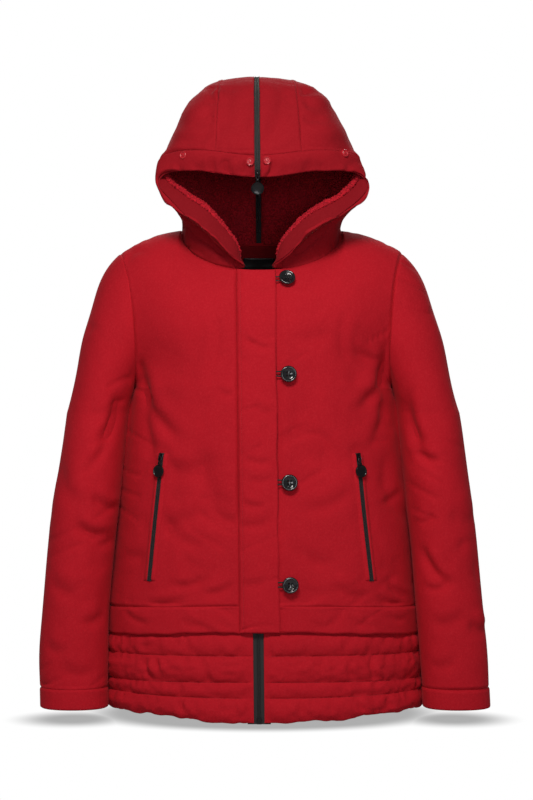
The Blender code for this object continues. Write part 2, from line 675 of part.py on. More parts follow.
def sleeve_ring(angle, height):
    outer = lookup(SLEEVE_COLUMNS, SLEEVE, "height", "outer", height)
    inner = lookup(SLEEVE_COLUMNS, SLEEVE, "height", "inner", height)
    middle_y = lookup(SLEEVE_COLUMNS, SLEEVE, "height", "middle_y", height)
    half_depth = lookup(SLEEVE_COLUMNS, SLEEVE, "height", "half_depth", height)
    cos, sin = np.cos(angle), np.sin(angle)
    round_x = np.sign(cos) * np.abs(cos) ** (2 / SLEEVE_POWER)
    round_y = np.sign(sin) * np.abs(sin) ** (2 / SLEEVE_POWER)
    return stack((outer + inner) / 2 - (outer - inner) / 2 * round_x, middle_y - half_depth * round_y, height)


def sleeve_point(angle, w):
    angle, w = np.broadcast_arrays(np.asarray(angle, float), np.asarray(w, float))
    turned = np.mod(angle, 2 * math.pi)
    in_front = turned <= math.pi
    seam_angle = np.where(in_front, turned, 2 * math.pi - turned)
    seam = np.where(in_front[..., None], armhole(FRONT, seam_angle), armhole(BACK, seam_angle))
    seam = seam + np.array([SEAM_CLEAR, 0.0, 0.0])
    ring_top = sleeve_ring(angle, np.full_like(angle, ARM_TOP))
    raised = (1 - np.cos(seam_angle)) / 2  # 0 at the underarm, 1 at the tip
    out_low, out_high = LEAVES_OUTWARDS
    down_low, down_high = LEAVES_DOWNWARDS
    outwards = out_low + (out_high - out_low) * raised**0.8
    downwards = down_low + (down_high - down_low) * raised**3
    leave = unit(stack(outwards, -LEAVES_FORWARDS * np.sin(turned), -downwards))
    out_low, out_high = ARRIVES_OUTWARDS
    arrive = unit(stack(out_low + (out_high - out_low) * raised, 0.0 * raised, -np.ones_like(raised)))
    chord = np.linalg.norm(ring_top - seam, axis=-1, keepdims=True)
    head = hermite(seam, ring_top, leave * chord, arrive * chord, np.clip(w, 0, 1))
    arm = sleeve_ring(angle, ARM_TOP + (ARM_END - ARM_TOP) * np.clip(w - 1, 0, 1))
    return np.where((w < 1)[..., None], head, arm)


def crease_depth(side, angle, height):
    depth = np.zeros(np.broadcast(angle, height).shape)
    for crease in CREASES:
        row = dict(zip(CREASE_COLUMNS, crease))
        if row["side"] != side:
            continue
        away = np.degrees(np.mod(angle - math.radians(row["angle"]) + math.pi, 2 * math.pi) - math.pi)
        line = row["height"] + row["slope"] * away / 180
        depth += (
            row["depth"]
            * np.exp(-((away / row["reach"]) ** 2))
            * np.exp(-(((height - line) / row["width"]) ** 2))
        )
    return depth


def sleeve_tube(name, side, w, thickness, out=0.0):
    """A stretch of the sleeve as a tube, moved out by `out`."""
    angle = np.concatenate([SEAM_ANGLES, 2 * math.pi - SEAM_ANGLES[-2:0:-1]])
    angle, w = np.meshgrid(angle, w)
    outer = sleeve_point(angle, w)
    inward = -unit(
        np.cross(
            sleeve_point(angle + 0.01, w) - sleeve_point(angle - 0.01, w),
            sleeve_point(angle, np.clip(w + 0.01, 0, 2)) - sleeve_point(angle, np.clip(w - 0.01, 0, 2)),
        )
    )
    tube_middle = outer.mean(axis=1, keepdims=True)
    inward *= np.sign((inward * (tube_middle - outer)).sum(axis=-1, keepdims=True))
    inward = np.where((w < 1e-6)[..., None], to_armhole_middle(outer), inward)
    sunk = crease_depth(side, angle, outer[..., 2]) * smoothstep(1.0, 1.15, w)
    inner = outer + inward * thickness
    outer = outer + inward * (sunk - out)[..., None]
    wall(name, mirrored(outer, side), mirrored(inner, side), "shell_cloth", closed=True)


def arm_w(height):
    """The w of a ring of the arm."""
    return 1 + (height - ARM_TOP) / (ARM_END - ARM_TOP)


def make_sleeves():
    arm_heights = [-310, -360, -410, -450, -500, -545, -595, CUFF_SEAM]
    sleeve_w = [0.0, 0.14, 0.36, 0.66, 1.0] + [arm_w(height) for height in arm_heights]
    cuff_w = [arm_w(height) for height in (CUFF_SEAM - GAP, CUFF_SEAM - CUFF_STEP_WIDTH, ARM_END)]
    for side, word in ((RIGHT, "right"), (LEFT, "left")):
        sleeve_tube("sleeve_" + word, side, sleeve_w, SLEEVE_WALL)
        sleeve_tube("cuff_" + word, side, cuff_w, CUFF_WALL, CUFF_STEP)


make_sleeves()


# ---------------------------------------------------------------------------------------------
# Hood. hood_point(u, v) has u from the neck seam (0) to the crown's centre line (7), and v from
# the rim (0) back to the seam at the back of the neck (7). Below the cheeks the rim rolls outwards,
# so row 1 is the roll there, and higher up it is the seam of the band round the face.
# ---------------------------------------------------------------------------------------------

HOOD_WALL, FACING_WALL, LINING_WALL = 4.0, 2.0, 5.0
HOOD_COLUMNS = ("neck_share", "collar", "lapel", "jaw", "cheek", "temple", "brow", "crown")
HOOD_RIBS = (
    (0.109, (42, -114, -44), (74, -118, -14), (115, -106, 16), (150, -82, 55),
     (138, -90, 76), (84, -120, 74), (0, -136, 64)),
    (0.188, (38, -98, -16), (62, -92, 27), (116, -82, 43), (143, -64, 74),
     (137, -74, 102), (85, -123, 104), (0, -141, 94)),
    (0.343, (72, -86, -22), (94, -78, 14), (132, -64, 40), (143, -44, 74),
     (131, -46, 116), (88, -94, 158), (0, -124, 146)),
    (0.526, (97, -64, -10), (116, -54, 20), (138, -36, 46), (143, -14, 82),
     (129, -12, 130), (85, -38, 198), (0, -70, 208)),
    (0.674, (111, -40, 4), (120, -20, 28), (136, 4, 56), (141, 24, 98),
     (121, 28, 148), (77, 24, 208), (0, 14, 226)),
    (0.795, (114, -14, 12), (115, 14, 34), (118, 44, 68), (118, 66, 102),
     (98, 80, 142), (56, 92, 178), (0, 98, 198)),
    (0.897, (115, 4, 12), (108, 36, 26), (101, 68, 46), (88, 98, 66),
     (66, 120, 84), (36, 134, 94), (0, 140, 98)),
)  # fmt: skip
NECK_LIFT = 1.1  # the neck seams' facets bow by this much, and keep about GAP
HOOD_LAST = len(HOOD_COLUMNS) - 1  # number of the net's last row and of its last column
CENTRE_PANEL_X = (62.0, 31.0)  # half width of the panel over the crown, at the face and at the neck
HOOD_ZIP_HALF, LINING_ZIP_HALF = 3.8, 6.0
ZIP_CLEAR = 0.5  # from the tape to the panels beside it
HOOD_SIDE_COLUMNS = 12
BAND_V, FACING_V = 1.0, 1.2  # where the band and the facing inside it end
HOOD_GAP = 0.005  # in rows or columns, on each side of a seam: about GAP between the pieces


def hood_net():
    """The ribs' points, with the neckline's at their foot and the back of the neck's as the last row."""
    rows = [[neckline(FRONT, rib[0])] + [np.array(point, float) for point in rib[1:]] for rib in HOOD_RIBS]
    rows.append([neckline(BACK, 1 - column / HOOD_LAST) for column in range(HOOD_LAST + 1)])
    net = np.array(rows, float)
    net[..., 2] += NECK_LIFT
    net = padded_net(net)
    net[:, -1] = mirrored(net[:, -3], RIGHT)  # makes it smooth over the crown
    return net


HOOD_NET = hood_net()


def hood_point(u, v):
    return net_point(HOOD_NET, u, v)


def hood_inward(u, v):
    limits = (0, HOOD_LAST)
    inward = normals_of(hood_point, u, v, limits, limits)
    to_axis = unit(hood_point(u, v) * np.array([-1.0, -1.0, 0.0]))
    on_seam = (u < 1e-6) | (v > HOOD_LAST - 1e-6)
    on_seam = on_seam * smoothstep(BAND_V, 2.2, v)  # not where the rim rolls out
    return unit(inward + (to_axis - inward) * on_seam[..., None])


def hood_share_at_x(x, v):
    return share_at_x(hood_point, x, v, 5.0, HOOD_LAST)


def panel_seam(v):
    """The u of the seam between the side panel and the one over the crown, for each v."""
    front, back = CENTRE_PANEL_X
    return np.array([hood_share_at_x(front + (back - front) * row / HOOD_LAST, [row])[0] for row in v])


def hood_layer(name, side, u, v, depth, thickness, material_name):
    """A wall of the hood between the grids u and v, with its outer face `depth` inside the hood's surface."""
    surface, inward = hood_point(u, v), hood_inward(u, v)
    outer = surface + inward * depth
    inner = surface + inward * (depth + thickness)
    wall(name, mirrored(outer, side), mirrored(inner, side), material_name)


def side_columns(seam):
    return seam[:, None] * np.linspace(0, 1, HOOD_SIDE_COLUMNS)


def centre_columns(seam, edge):
    return seam[:, None] + (edge - seam)[:, None] * np.linspace(0, 1, 3)


def make_hood():
    band = np.array([0.0, 0.3, 0.65, BAND_V - HOOD_GAP])
    facing = np.array([0.0, 0.3, 0.65, BAND_V, FACING_V - HOOD_GAP])
    behind = [1.5, 1.95, 2.5, 3.1, 3.75, 4.4, 5.05, 5.7, 6.35, HOOD_LAST]
    panel = np.array([BAND_V + HOOD_GAP, FACING_V] + behind)
    lining_start = FACING_V + 3 * HOOD_GAP  # more, where the roll brings the seam's edges together
    lining = np.array([lining_start] + behind)
    under = HOOD_WALL + GAP
    for side, word in ((RIGHT, "right"), (LEFT, "left")):
        for name, rows, depth, thickness, zip_x in (
            ("hood_band_", band, 0.0, HOOD_WALL, HOOD_ZIP_HALF + ZIP_CLEAR),
            ("hood_facing_", facing, under, FACING_WALL, LINING_ZIP_HALF),
        ):
            seam = panel_seam(rows)
            centre = centre_columns(seam, hood_share_at_x(zip_x, rows))
            u = np.concatenate([side_columns(seam), centre[:, 1:]], axis=1)
            v = np.broadcast_to(rows[:, None], u.shape)
            hood_layer(name + word, side, u, v, depth, thickness, "shell_cloth")
        for name, rows, depth, thickness, zip_x, finish in (
            ("hood_", panel, 0.0, HOOD_WALL, HOOD_ZIP_HALF + ZIP_CLEAR, "shell_cloth"),
            ("hood_lining_", lining, under, LINING_WALL, LINING_ZIP_HALF, "pile_lining"),
        ):
            seam = panel_seam(rows)
            u = side_columns(seam - HOOD_GAP)
            v = np.broadcast_to(rows[:, None], u.shape)
            hood_layer(name + "side_" + word, side, u, v, depth, thickness, finish)
            u = centre_columns(seam + HOOD_GAP, hood_share_at_x(zip_x, rows))
            v = np.broadcast_to(rows[:, None], u.shape)
            hood_layer(name + "centre_" + word, side, u, v, depth, thickness, finish)


def make_hood_zip_tape():
    rows = np.linspace(0, HOOD_LAST, 19)
    u = hood_share_at_x(HOOD_ZIP_HALF, rows)[:, None]
    v = rows[:, None]
    surface, inward = hood_point(u, v), hood_inward(u, v)
    outer, inner = surface + inward * 0.4, surface + inward * HOOD_WALL
    both = [np.concatenate([mirrored(points, RIGHT), points], axis=1) for points in (outer, inner)]
    wall("hood_zip_tape", both[0], both[1], "zip_tape")


make_hood()
make_hood_zip_tape()


# ---------------------------------------------------------------------------------------------
# Inside the back of the neck
# ---------------------------------------------------------------------------------------------

NECK_FACING_V, LABEL_V = (2.25, 2.5, 2.75, 2.97), (2.46, 2.6, 2.74)
NECK_FACING_COLUMNS = 4  # of the back's own columns, from the centre
LABEL_HALF_WIDTH = 24.0
NECK_FACING_WALL, LABEL_WALL = 2.0, 1.2


def inside_back(name, u, v, depth, thickness, material_name):
    surface, inward = body_point(BACK, u, v), body_inward(BACK, u, v)
    outer, inner = surface + inward * depth, surface + inward * (depth + thickness)
    wall(name, both_halves(outer), both_halves(inner), material_name)


def make_neck_inside():
    u, v = back_grid(np.array(NECK_FACING_V), BACK_COLUMNS)
    u, v = u[:, :NECK_FACING_COLUMNS], v[:, :NECK_FACING_COLUMNS]
    inside_back("neck_facing", u, v, SHELL + 2 * GAP, NECK_FACING_WALL, "shell_cloth")
    rows = np.array(LABEL_V)
    edge = share_at_x(lambda a, b: body_point(BACK, a, b), LABEL_HALF_WIDTH, rows, 0.0, 0.6)
    u = edge[:, None] * np.linspace(0, 1, 3)
    depth = SHELL + NECK_FACING_WALL + 6 * GAP
    inside_back("label", u, np.broadcast_to(rows[:, None], u.shape), depth, LABEL_WALL, "label_satin")


make_neck_inside()


# ---------------------------------------------------------------------------------------------
# Hard pieces. Each is made in its own frame: X across, Y up along the cloth and Z out of it.
# ---------------------------------------------------------------------------------------------


def frame_at(point, up, out):
    """The matrix of a frame on the cloth, in metres."""
    out = unit(np.asarray(out, float))
    up = unit(np.asarray(up, float) - out * np.dot(up, out))
    across = np.cross(up, out)
    matrix = Matrix.Identity(4)
    for column, way in enumerate((across, up, out)):
        matrix.col[column][:3] = way
    matrix.translation = Vector(leant(point) * MM)
    return matrix


def place(node, matrix, lift=0.0):
    """Puts a piece on a frame, lifted out of the cloth by `lift`."""
    node.matrix_world = matrix @ Matrix.Translation((0.0, 0.0, lift * MM))
    return node


def front_frame(side, x, z, up=(0.0, 0.0, 1.0)):
    """A frame on a front's outer face, at x from the centre line and at height z."""
    rows = np.linspace(0.2, 2.98, 140)
    shares = front_share_at_x(x, rows)
    v = np.interp(z, body_point(FRONT, shares, rows)[:, 2], rows)
    u = front_share_at_x(x, [v])
    point = mirrored(front_point(side, u, np.array([v]))[0], side)
    out = -mirrored(body_inward(FRONT, u, np.array([v]))[0], side)
    return frame_at(point, up, out)


def hood_frame(side, x, v):
    u = hood_share_at_x(x, [v])
    point = hood_point(u, np.array([v]))[0]
    up = hood_point(u, np.array([v + 0.05]))[0] - point
    out = -hood_inward(u, np.array([v]))[0]
    if x == 0:
        out[0] = 0.0
    return frame_at(mirrored(point, side), mirrored(up, side), mirrored(out, side))


def turned(name, profile, segments, material_name):
    """A closed turned solid. The profile has (radius, height) rows and starts and ends on the axis."""
    rings = profile[1:-1]
    verts = [(0.0, 0.0, profile[0][1])]
    for radius, height in rings:
        for k in range(segments):
            angle = 2 * math.pi * k / segments
            verts.append((radius * math.cos(angle), radius * math.sin(angle), height))
    verts.append((0.0, 0.0, profile[-1][1]))
    faces = []
    for k in range(segments):
        after = (k + 1) % segments
        faces.append([0, 1 + after, 1 + k])
        for r in range(len(rings) - 1):
            a, b = 1 + r * segments, 1 + (r + 1) * segments
            faces.append([a + k, a + after, b + after, b + k])
        top = 1 + (len(rings) - 1) * segments
        faces.append([top + k, top + after, len(verts) - 1])
    mesh = bpy.data.meshes.new(name)
    mesh.from_pydata([Vector(v) * MM for v in verts], [], faces)
    return add_object(name, mesh, material_name)


def plate(name, outline, low, high, material_name, hole=None, across="z"):
    """A flat outline given a thickness along an axis. A hole has as many points as the outline."""
    count = len(outline)
    loops = [outline] + ([hole] if hole else [])
    verts = []
    for level in (low, high):
        for loop in loops:
            verts += [(a, b, level) if across == "z" else (level, a, b) for a, b in loop]
    step = count * len(loops)
    faces = []
    for k in range(count):
        after = (k + 1) % count
        faces.append([k, after, after + step, k + step])
        if hole:
            a, b = count + k, count + after
            faces += [[a, b, b + step, a + step], [k, after, b, a]]
            faces.append([k + step, after + step, b + step, a + step])
    if not hole:
        faces += [list(range(count)), list(range(step, step + count))]
    mesh = bpy.data.meshes.new(name)
    mesh.from_pydata([Vector(v) * MM for v in verts], [], faces)
    return add_object(name, mesh, material_name)


def joined(node, other):
    """Makes `other` one solid with the node, and keeps it out of the part itself."""
    other.hide_render = True
    other.display_type = "WIRE"
    union = node.modifiers.new("with_" + other.name, "BOOLEAN")
    union.operation = "UNION"
    union.object = other
    other.parent = node
    return node


SNAP_PROFILE = ((0, 0.3), (5.0, 0.3), (5.0, 1.3), (4.2, 2.0), (2.6, 2.0), (1.8, 1.5), (0, 1.5))
SNAP_COLUMNS = ("side", "x", "v")
SNAPS = ((RIGHT, 107.0, 0.76), (RIGHT, 10.0, 0.74), (LEFT, 13.0, 0.78), (LEFT, 118.0, 0.86))


def make_snaps():
    for number, snap in enumerate(SNAPS, 1):
        row = dict(zip(SNAP_COLUMNS, snap))
        node = turned(f"hood_snap_{number}", SNAP_PROFILE, 14, "snap_plastic")
        place(node, hood_frame(row["side"], row["x"], row["v"]))


BUTTON_X = 38.5
BUTTON_HEIGHTS = (-75.0, -208.0, -358.0, -499.0)
SHANK_RADIUS = 2.4
BUTTON_PROFILE = (
    (0, 0.3), (SHANK_RADIUS, 0.3), (SHANK_RADIUS, 4.4), (9.8, 4.4), (11.4, 5.6), (11.4, 7.2), (10.2, 8.4),
    (8.4, 8.2), (7.2, 6.9), (0, 6.7),
)  # fmt: skip
LOOP_RADIUS = 0.9


def make_buttons():
    """Each button stands on its shank, and an elastic loop from the fly's edge goes round it."""
    reach = FLY_EDGE_X + GAP + 0.2 - BUTTON_X
    bend = SHANK_RADIUS + LOOP_RADIUS + 0.5
    for number, height in enumerate(BUTTON_HEIGHTS, 1):
        frame = front_frame(LEFT, BUTTON_X, height)
        place(turned(f"button_{number}", BUTTON_PROFILE, 14, "button_resin"), frame)
        turn = np.radians([90, 54, 18, -18, -54, -90])
        route = [(reach, 3.4, 1.3)] + [(bend * math.cos(a), bend * math.sin(a), 2.6) for a in turn]
        route.append((reach, -3.4, 1.3))
        curve = bpy.data.curves.new(f"button_loop_{number}", "CURVE")
        curve.dimensions = "3D"
        curve.bevel_depth = LOOP_RADIUS * MM
        curve.bevel_resolution = 0
        curve.use_fill_caps = True
        spline = curve.splines.new("POLY")
        spline.points.add(len(route) - 1)
        for point, place_on_route in zip(spline.points, route):
            point.co = (*(Vector(place_on_route) * MM), 1.0)
        curve.materials.append(MATERIALS["loop_cord"])
        loop = bpy.data.objects.new(f"button_loop_{number}", curve)
        bpy.context.scene.collection.objects.link(loop)
        place(loop, frame)


POCKET_COLUMNS = ("side", "top_x", "top_z", "bottom_x", "bottom_z")
POCKETS = ((RIGHT, 141.0, -318.0, 158.0, -500.0), (LEFT, 132.0, -318.0, 152.0, -500.0))
POCKET_TAPE_HALF, POCKET_TAPE = 3.3, 1.2
TAPE_CLEAR = 0.7  # above the cloth's facets

SLIDER_HALF, SLIDER_BASE = (3.5, 5.0), 2.4
BRIDGE_HALF_WIDTH = 0.9
BRIDGE = (
    (-3.6, 2.0), (-3.6, 4.6), (-2.2, 6.2), (2.2, 6.2), (3.6, 4.6), (3.6, 2.0),
    (2.2, 2.0), (2.2, 4.0), (1.4, 5.0), (-1.4, 5.0), (-2.2, 4.0), (-2.2, 2.0),
)  # fmt: skip
PIVOT_HEIGHT = SLIDER_BASE + 1.25  # of the pull's bar, under the bridge
PULL_RADIUS, PULL_DROP = 9.0, 20.5  # the disc's radius, and how far its middle is below the bar
PULL_PROFILE = (
    (0, -1.0), (8.5, -1.0), (PULL_RADIUS, -0.5), (PULL_RADIUS, 0.9),
    (8.4, 1.3), (7.5, 1.3), (7.0, 0.8), (0, 0.8),
)  # fmt: skip
EYE = ((3, 0.7), (-3, 0.7), (-3, -5.2), (-1.5, -6.4), (-1.5, -12.2), (1.5, -12.2), (1.5, -6.4), (3, -5.2))
EYE_HOLE = (
    (1.7, -0.7), (-1.7, -0.7), (-1.7, -4.6), (-1.0, -5.2),
    (-0.6, -5.2), (0.6, -5.2), (1.0, -5.2), (1.7, -4.6),
)  # fmt: skip
EYE_HALF = 0.55


def make_slider_and_pull(slider_name, pull_name, frame, lift):
    """A slider with a bridge, and a round pull whose bar turns under it. The pull's origin is on its axis."""
    half_x, half_y = SLIDER_HALF
    corner = 1.2
    inner_x, inner_y = half_x - corner, half_y - corner
    outline = [
        (-half_x, -inner_y), (-inner_x, -half_y), (inner_x, -half_y), (half_x, -inner_y),
        (half_x, inner_y), (inner_x, half_y), (-inner_x, half_y), (-half_x, inner_y),
    ]  # fmt: skip
    slider = plate(slider_name, outline, 0.0, SLIDER_BASE, "zip_metal")
    wide = BRIDGE_HALF_WIDTH
    bridge = plate(slider_name + "_bridge", BRIDGE, -wide, wide, "zip_metal", across="x")
    place(joined(slider, bridge), frame, lift)
    pull = turned(pull_name, PULL_PROFILE, 16, "zip_metal")
    pull.data.transform(Matrix.Translation((0.0, -PULL_DROP * MM, 0.0)))
    eye = plate(pull_name + "_eye", EYE, -EYE_HALF, EYE_HALF, "zip_metal", hole=EYE_HOLE)
    place(joined(pull, eye), frame, lift + PIVOT_HEIGHT)


def make_pockets():
    for pocket in POCKETS:
        row = dict(zip(POCKET_COLUMNS, pocket))
        side = row["side"]
        word = "left" if side == LEFT else "right"
        heights = np.linspace(row["bottom_z"], row["top_z"], 10)
        middles = np.linspace(row["bottom_x"], row["top_x"], 10)
        v = height_to_v(heights)
        edges = [
            np.array([front_share_at_x(x, [a])[0] for x, a in zip(middles + dx, v)])
            for dx in (-POCKET_TAPE_HALF, POCKET_TAPE_HALF)
        ]
        u = np.stack(edges, axis=1)
        v = np.broadcast_to(v[:, None], u.shape)
        outer = front_point(side, u, v, TAPE_CLEAR + POCKET_TAPE)
        inner = front_point(side, u, v, TAPE_CLEAR)
        wall("pocket_zip_" + word, mirrored(outer, side), mirrored(inner, side), "zip_tape")
        along = mirrored(outer[-1].mean(axis=0) - outer[0].mean(axis=0), side)
        frame = front_frame(side, row["top_x"], row["top_z"] - SLIDER_HALF[1], along)
        lift = TAPE_CLEAR + POCKET_TAPE + GAP
        make_slider_and_pull("pocket_slider_" + word, "pocket_pull_" + word, frame, lift)


def make_hood_slider():
    make_slider_and_pull("hood_zip_slider", "hood_pull", hood_frame(LEFT, 0.0, 0.17), -0.1)


make_snaps()
make_buttons()
make_pockets()
make_hood_slider()
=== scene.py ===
"""A hooded, padded winter jacket, filled out as worn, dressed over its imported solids.

Lengths in the tables are millimetres. +Z is up, the front faces -Y and the wearer's left is +X.
"""
import math

import bpy
import numpy as np
from mathutils import Matrix, Vector


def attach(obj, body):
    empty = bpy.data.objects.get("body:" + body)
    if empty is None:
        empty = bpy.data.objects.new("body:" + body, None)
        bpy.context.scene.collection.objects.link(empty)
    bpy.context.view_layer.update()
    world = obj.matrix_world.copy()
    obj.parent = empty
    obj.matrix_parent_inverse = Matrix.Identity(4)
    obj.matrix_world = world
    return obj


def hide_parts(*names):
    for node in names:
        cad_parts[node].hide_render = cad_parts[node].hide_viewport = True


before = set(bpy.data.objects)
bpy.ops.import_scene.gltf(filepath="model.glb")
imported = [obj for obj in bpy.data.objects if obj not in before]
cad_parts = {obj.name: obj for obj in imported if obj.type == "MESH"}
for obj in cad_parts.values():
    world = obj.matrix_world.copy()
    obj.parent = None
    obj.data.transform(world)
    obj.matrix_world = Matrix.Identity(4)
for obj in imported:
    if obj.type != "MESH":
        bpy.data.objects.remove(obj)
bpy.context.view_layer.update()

# ---------------------------------------------------------------------------------------------
# Camera, floor and light: the photograph is taken level from 3 m in front, on white paper that
# curves away. A broad soft light stands in front and above, a weaker one at the other side.
# ---------------------------------------------------------------------------------------------

camera = bpy.data.objects.new("photo_camera", bpy.data.cameras.new("photo_camera"))
camera.data.sensor_width = 36.0
camera.data.lens = 93.1
camera.location = (0.0116, -3.0, -0.2436)
camera.rotation_euler = (math.radians(90), 0, 0)
bpy.context.scene.collection.objects.link(camera)
bpy.context.scene.camera = camera
bpy.context.scene.view_settings.view_transform = "Standard"


def colour(hex_code):
    """A linear colour from an sRGB hex code."""
    parts = [int(hex_code[k : k + 2], 16) / 255 for k in (1, 3, 5)]
    return (*[c / 12.92 if c <= 0.04045 else ((c + 0.055) / 1.055) ** 2.4 for c in parts], 1.0)


def add_node(tree, kind, links=(), **settings):
    """A node with its settings and links. A link is (input, other node, its output)."""
    node = tree.nodes.new(kind)
    inputs = settings.pop("inputs", {})
    for name, value in settings.items():
        setattr(node, name, value)
    for key, value in inputs.items():
        node.inputs[key].default_value = value
    for key, other, output in links:
        tree.links.new(other.outputs[output], node.inputs[key])
    return node


def empty_material(name):
    made = bpy.data.materials.new(name)
    made.use_nodes = True
    made.node_tree.nodes.clear()
    return made, made.node_tree


def soft_light(name, place, aim, size, power, tint):
    light = bpy.data.lights.new(name, "AREA")
    light.shape, light.size, light.size_y, light.energy = "RECTANGLE", size[0], size[1], power
    light.color = colour(tint)[:3]
    lamp = bpy.data.objects.new(name, light)
    lamp.location = place
    lamp.rotation_euler = (Vector(aim) - Vector(place)).to_track_quat("-Z", "Y").to_euler()
    bpy.context.scene.collection.objects.link(lamp)


soft_light("key_light", (-0.12, -1.55, 0.95), (0.0, 0.0, -0.2), (0.7, 0.4), 25.0, "#fffaf5")
soft_light("fill_light", (0.3, -3.1, -0.1), (0.0, 0.0, -0.15), (1.2, 0.8), 15.0, "#fbfcff")
soft_light("back_light", (0.0, 1.8, 1.2), (0.0, 0.0, -0.3), (1.6, 0.8), 24.0, "#ffffff")

world = bpy.data.worlds.new("white_studio")
world.use_nodes = True
world.node_tree.nodes.clear()
paper_seen = add_node(world.node_tree, "ShaderNodeBackground",
    inputs={"Color": (1, 1, 1, 1), "Strength": 1.0})
paper_light = add_node(world.node_tree, "ShaderNodeBackground",
    inputs={"Color": (1, 1, 1, 1), "Strength": 0.13})
ray = add_node(world.node_tree, "ShaderNodeLightPath")
either = add_node(world.node_tree, "ShaderNodeMixShader",
    [(0, ray, "Is Camera Ray"), (1, paper_light, 0), (2, paper_seen, 0)])
add_node(world.node_tree, "ShaderNodeOutputWorld", [("Surface", either, 0)])
bpy.context.scene.world = world

FLOOR_HEIGHT = -0.697
floor_mesh = bpy.data.meshes.new("paper_floor")
rim = [(2.6 * math.cos(k * math.pi / 32), 2.6 * math.sin(k * math.pi / 32), FLOOR_HEIGHT) for k in range(64)]
floor_mesh.from_pydata(rim, [], [list(range(64))])
floor = bpy.data.objects.new("paper_floor", floor_mesh)
bpy.context.scene.collection.objects.link(floor)
paper, tree = empty_material("white_paper")  # matt paper, seen evenly white but for a painted shadow under the hem and the cuffs
dull = add_node(tree, "ShaderNodeBsdfDiffuse", inputs={"Color": (0.45, 0.45, 0.45, 1)})
spot = add_node(tree, "ShaderNodeTexCoord")
outside_painted_shadows = None  # 0 in the painted shadows under the hem and the cuffs, 1 in the open
PAINTED_SHADOWS = (  # painted shadows under the hem and the two cuffs: x, y, half width, half depth and softness of each
    (0.008, 0.0, 0.235, 0.155, 0.22), (-0.262, -0.06, 0.055, 0.05, 0.9), (0.278, -0.06, 0.055, 0.05, 0.9),
)
for x, y, half_x, half_y, reach in PAINTED_SHADOWS:
    off = add_node(tree, "ShaderNodeVectorMath", [(0, spot, "Object")], operation="SUBTRACT",
        inputs={1: (x, y, FLOOR_HEIGHT)})
    wide = add_node(tree, "ShaderNodeVectorMath", [(0, off, 0)], operation="DIVIDE",
        inputs={1: (half_x, half_y, 1.0)})
    far = add_node(tree, "ShaderNodeVectorMath", [(0, wide, 0)], operation="LENGTH")
    outside_this_painted_shadow = add_node(
        tree, "ShaderNodeMapRange", [("Value", far, "Value")], interpolation_type="SMOOTHSTEP",
        inputs={"From Min": 1.0 - 0.6 * reach, "From Max": 1.0 + reach},
    )
    if outside_painted_shadows:
        outside_this_painted_shadow = add_node(tree, "ShaderNodeMath", [(0, outside_this_painted_shadow, 0), (1, outside_painted_shadows, 0)], operation="MINIMUM")
    outside_painted_shadows = outside_this_painted_shadow
# the paper's glow is dimmed inside the painted shadows
painted_shadow_strength = add_node(tree, "ShaderNodeMapRange", [("Value", outside_painted_shadows, 0)],
    inputs={"To Min": 0.42, "To Max": 1.0})
glow = add_node(tree, "ShaderNodeEmission", [("Strength", painted_shadow_strength, 0)], inputs={"Color": (1, 1, 1, 1)})
ray = add_node(tree, "ShaderNodeLightPath")
both = add_node(tree, "ShaderNodeMixShader", [(0, ray, "Is Camera Ray"), (1, dull, 0), (2, glow, 0)])
add_node(tree, "ShaderNodeOutputMaterial", [("Surface", both, 0)])
floor_mesh.materials.append(paper)

# ---------------------------------------------------------------------------------------------
# Outer layer: right front, left front and back, each one piece from the band's seam up to the
# shoulder. Microfibre cloth over 6 mm of wadding, cut to shape, sewn and turned.
# ---------------------------------------------------------------------------------------------

FRONT, BACK = -1, 1
RIGHT, LEFT = -1, 1
LEAN = 0.011  # the jacket hangs this much out of plumb
SWAY_COLUMNS = ("height", "shift")  # how far both sides sit to the wearer's left of the centre line
SWAY = (
    (-690, 3.0), (-620, 1.0), (-450, 1.0), (-300, 3.5), (-142, 4.5), (-35, 4.0), (10, 5.0), (40, 9.5),
    (75, 5.5),
    (150, 3.0), (230, 1.5),
)
SWAY_START = (15.0, 110.0)


def smoothstep(low, high, value):
    share = np.clip((np.asarray(value, float) - low) / (high - low), 0.0, 1.0)
    return share * share * (3.0 - 2.0 * share)


def lookup(columns, rows, key, wanted, at):
    """A column of a table where its column `key` is `at`, on a smooth curve through the rows."""
    table = np.array(rows, float)
    xs, ys = table[:, columns.index(key)], table[:, columns.index(wanted)]
    slopes = np.gradient(ys, xs)
    at = np.clip(np.asarray(at, float), xs[0], xs[-1])
    left = np.clip(np.searchsorted(xs, at, side="right") - 1, 0, len(xs) - 2)
    step = xs[left + 1] - xs[left]
    t = (at - xs[left]) / step
    ends = (2 * t**3 - 3 * t**2 + 1) * ys[left] + (3 * t**2 - 2 * t**3) * ys[left + 1]
    return ends + (t**3 - 2 * t**2 + t) * step * slopes[left] + (t**3 - t**2) * step * slopes[left + 1]


def hermite(start, end, start_way, end_way, t):
    t = t[..., None]
    ends = (2 * t**3 - 3 * t**2 + 1) * start + (3 * t**2 - 2 * t**3) * end
    return ends + (t**3 - 2 * t**2 + t) * start_way + (t**3 - t**2) * end_way


def unit(vectors):
    return vectors / np.maximum(np.linalg.norm(vectors, axis=-1, keepdims=True), 1e-9)


def stack(x, y, z):
    return np.stack(np.broadcast_arrays(x, y, z), axis=-1).astype(float)


def leant(points):
    """Points moved sideways as the jacket leans, and as its sides and hood sit over the centre line."""
    points = np.array(points, float)
    sway = lookup(SWAY_COLUMNS, SWAY, "height", "shift", points[..., 2])
    points[..., 0] += sway * smoothstep(*SWAY_START, np.abs(points[..., 0])) - LEAN * points[..., 2]
    return points


def mirrored(points, side):
    return points * np.array([side, 1.0, 1.0])


def both_halves(points):
    return np.concatenate([mirrored(points, RIGHT)[:, :0:-1], points], axis=1)


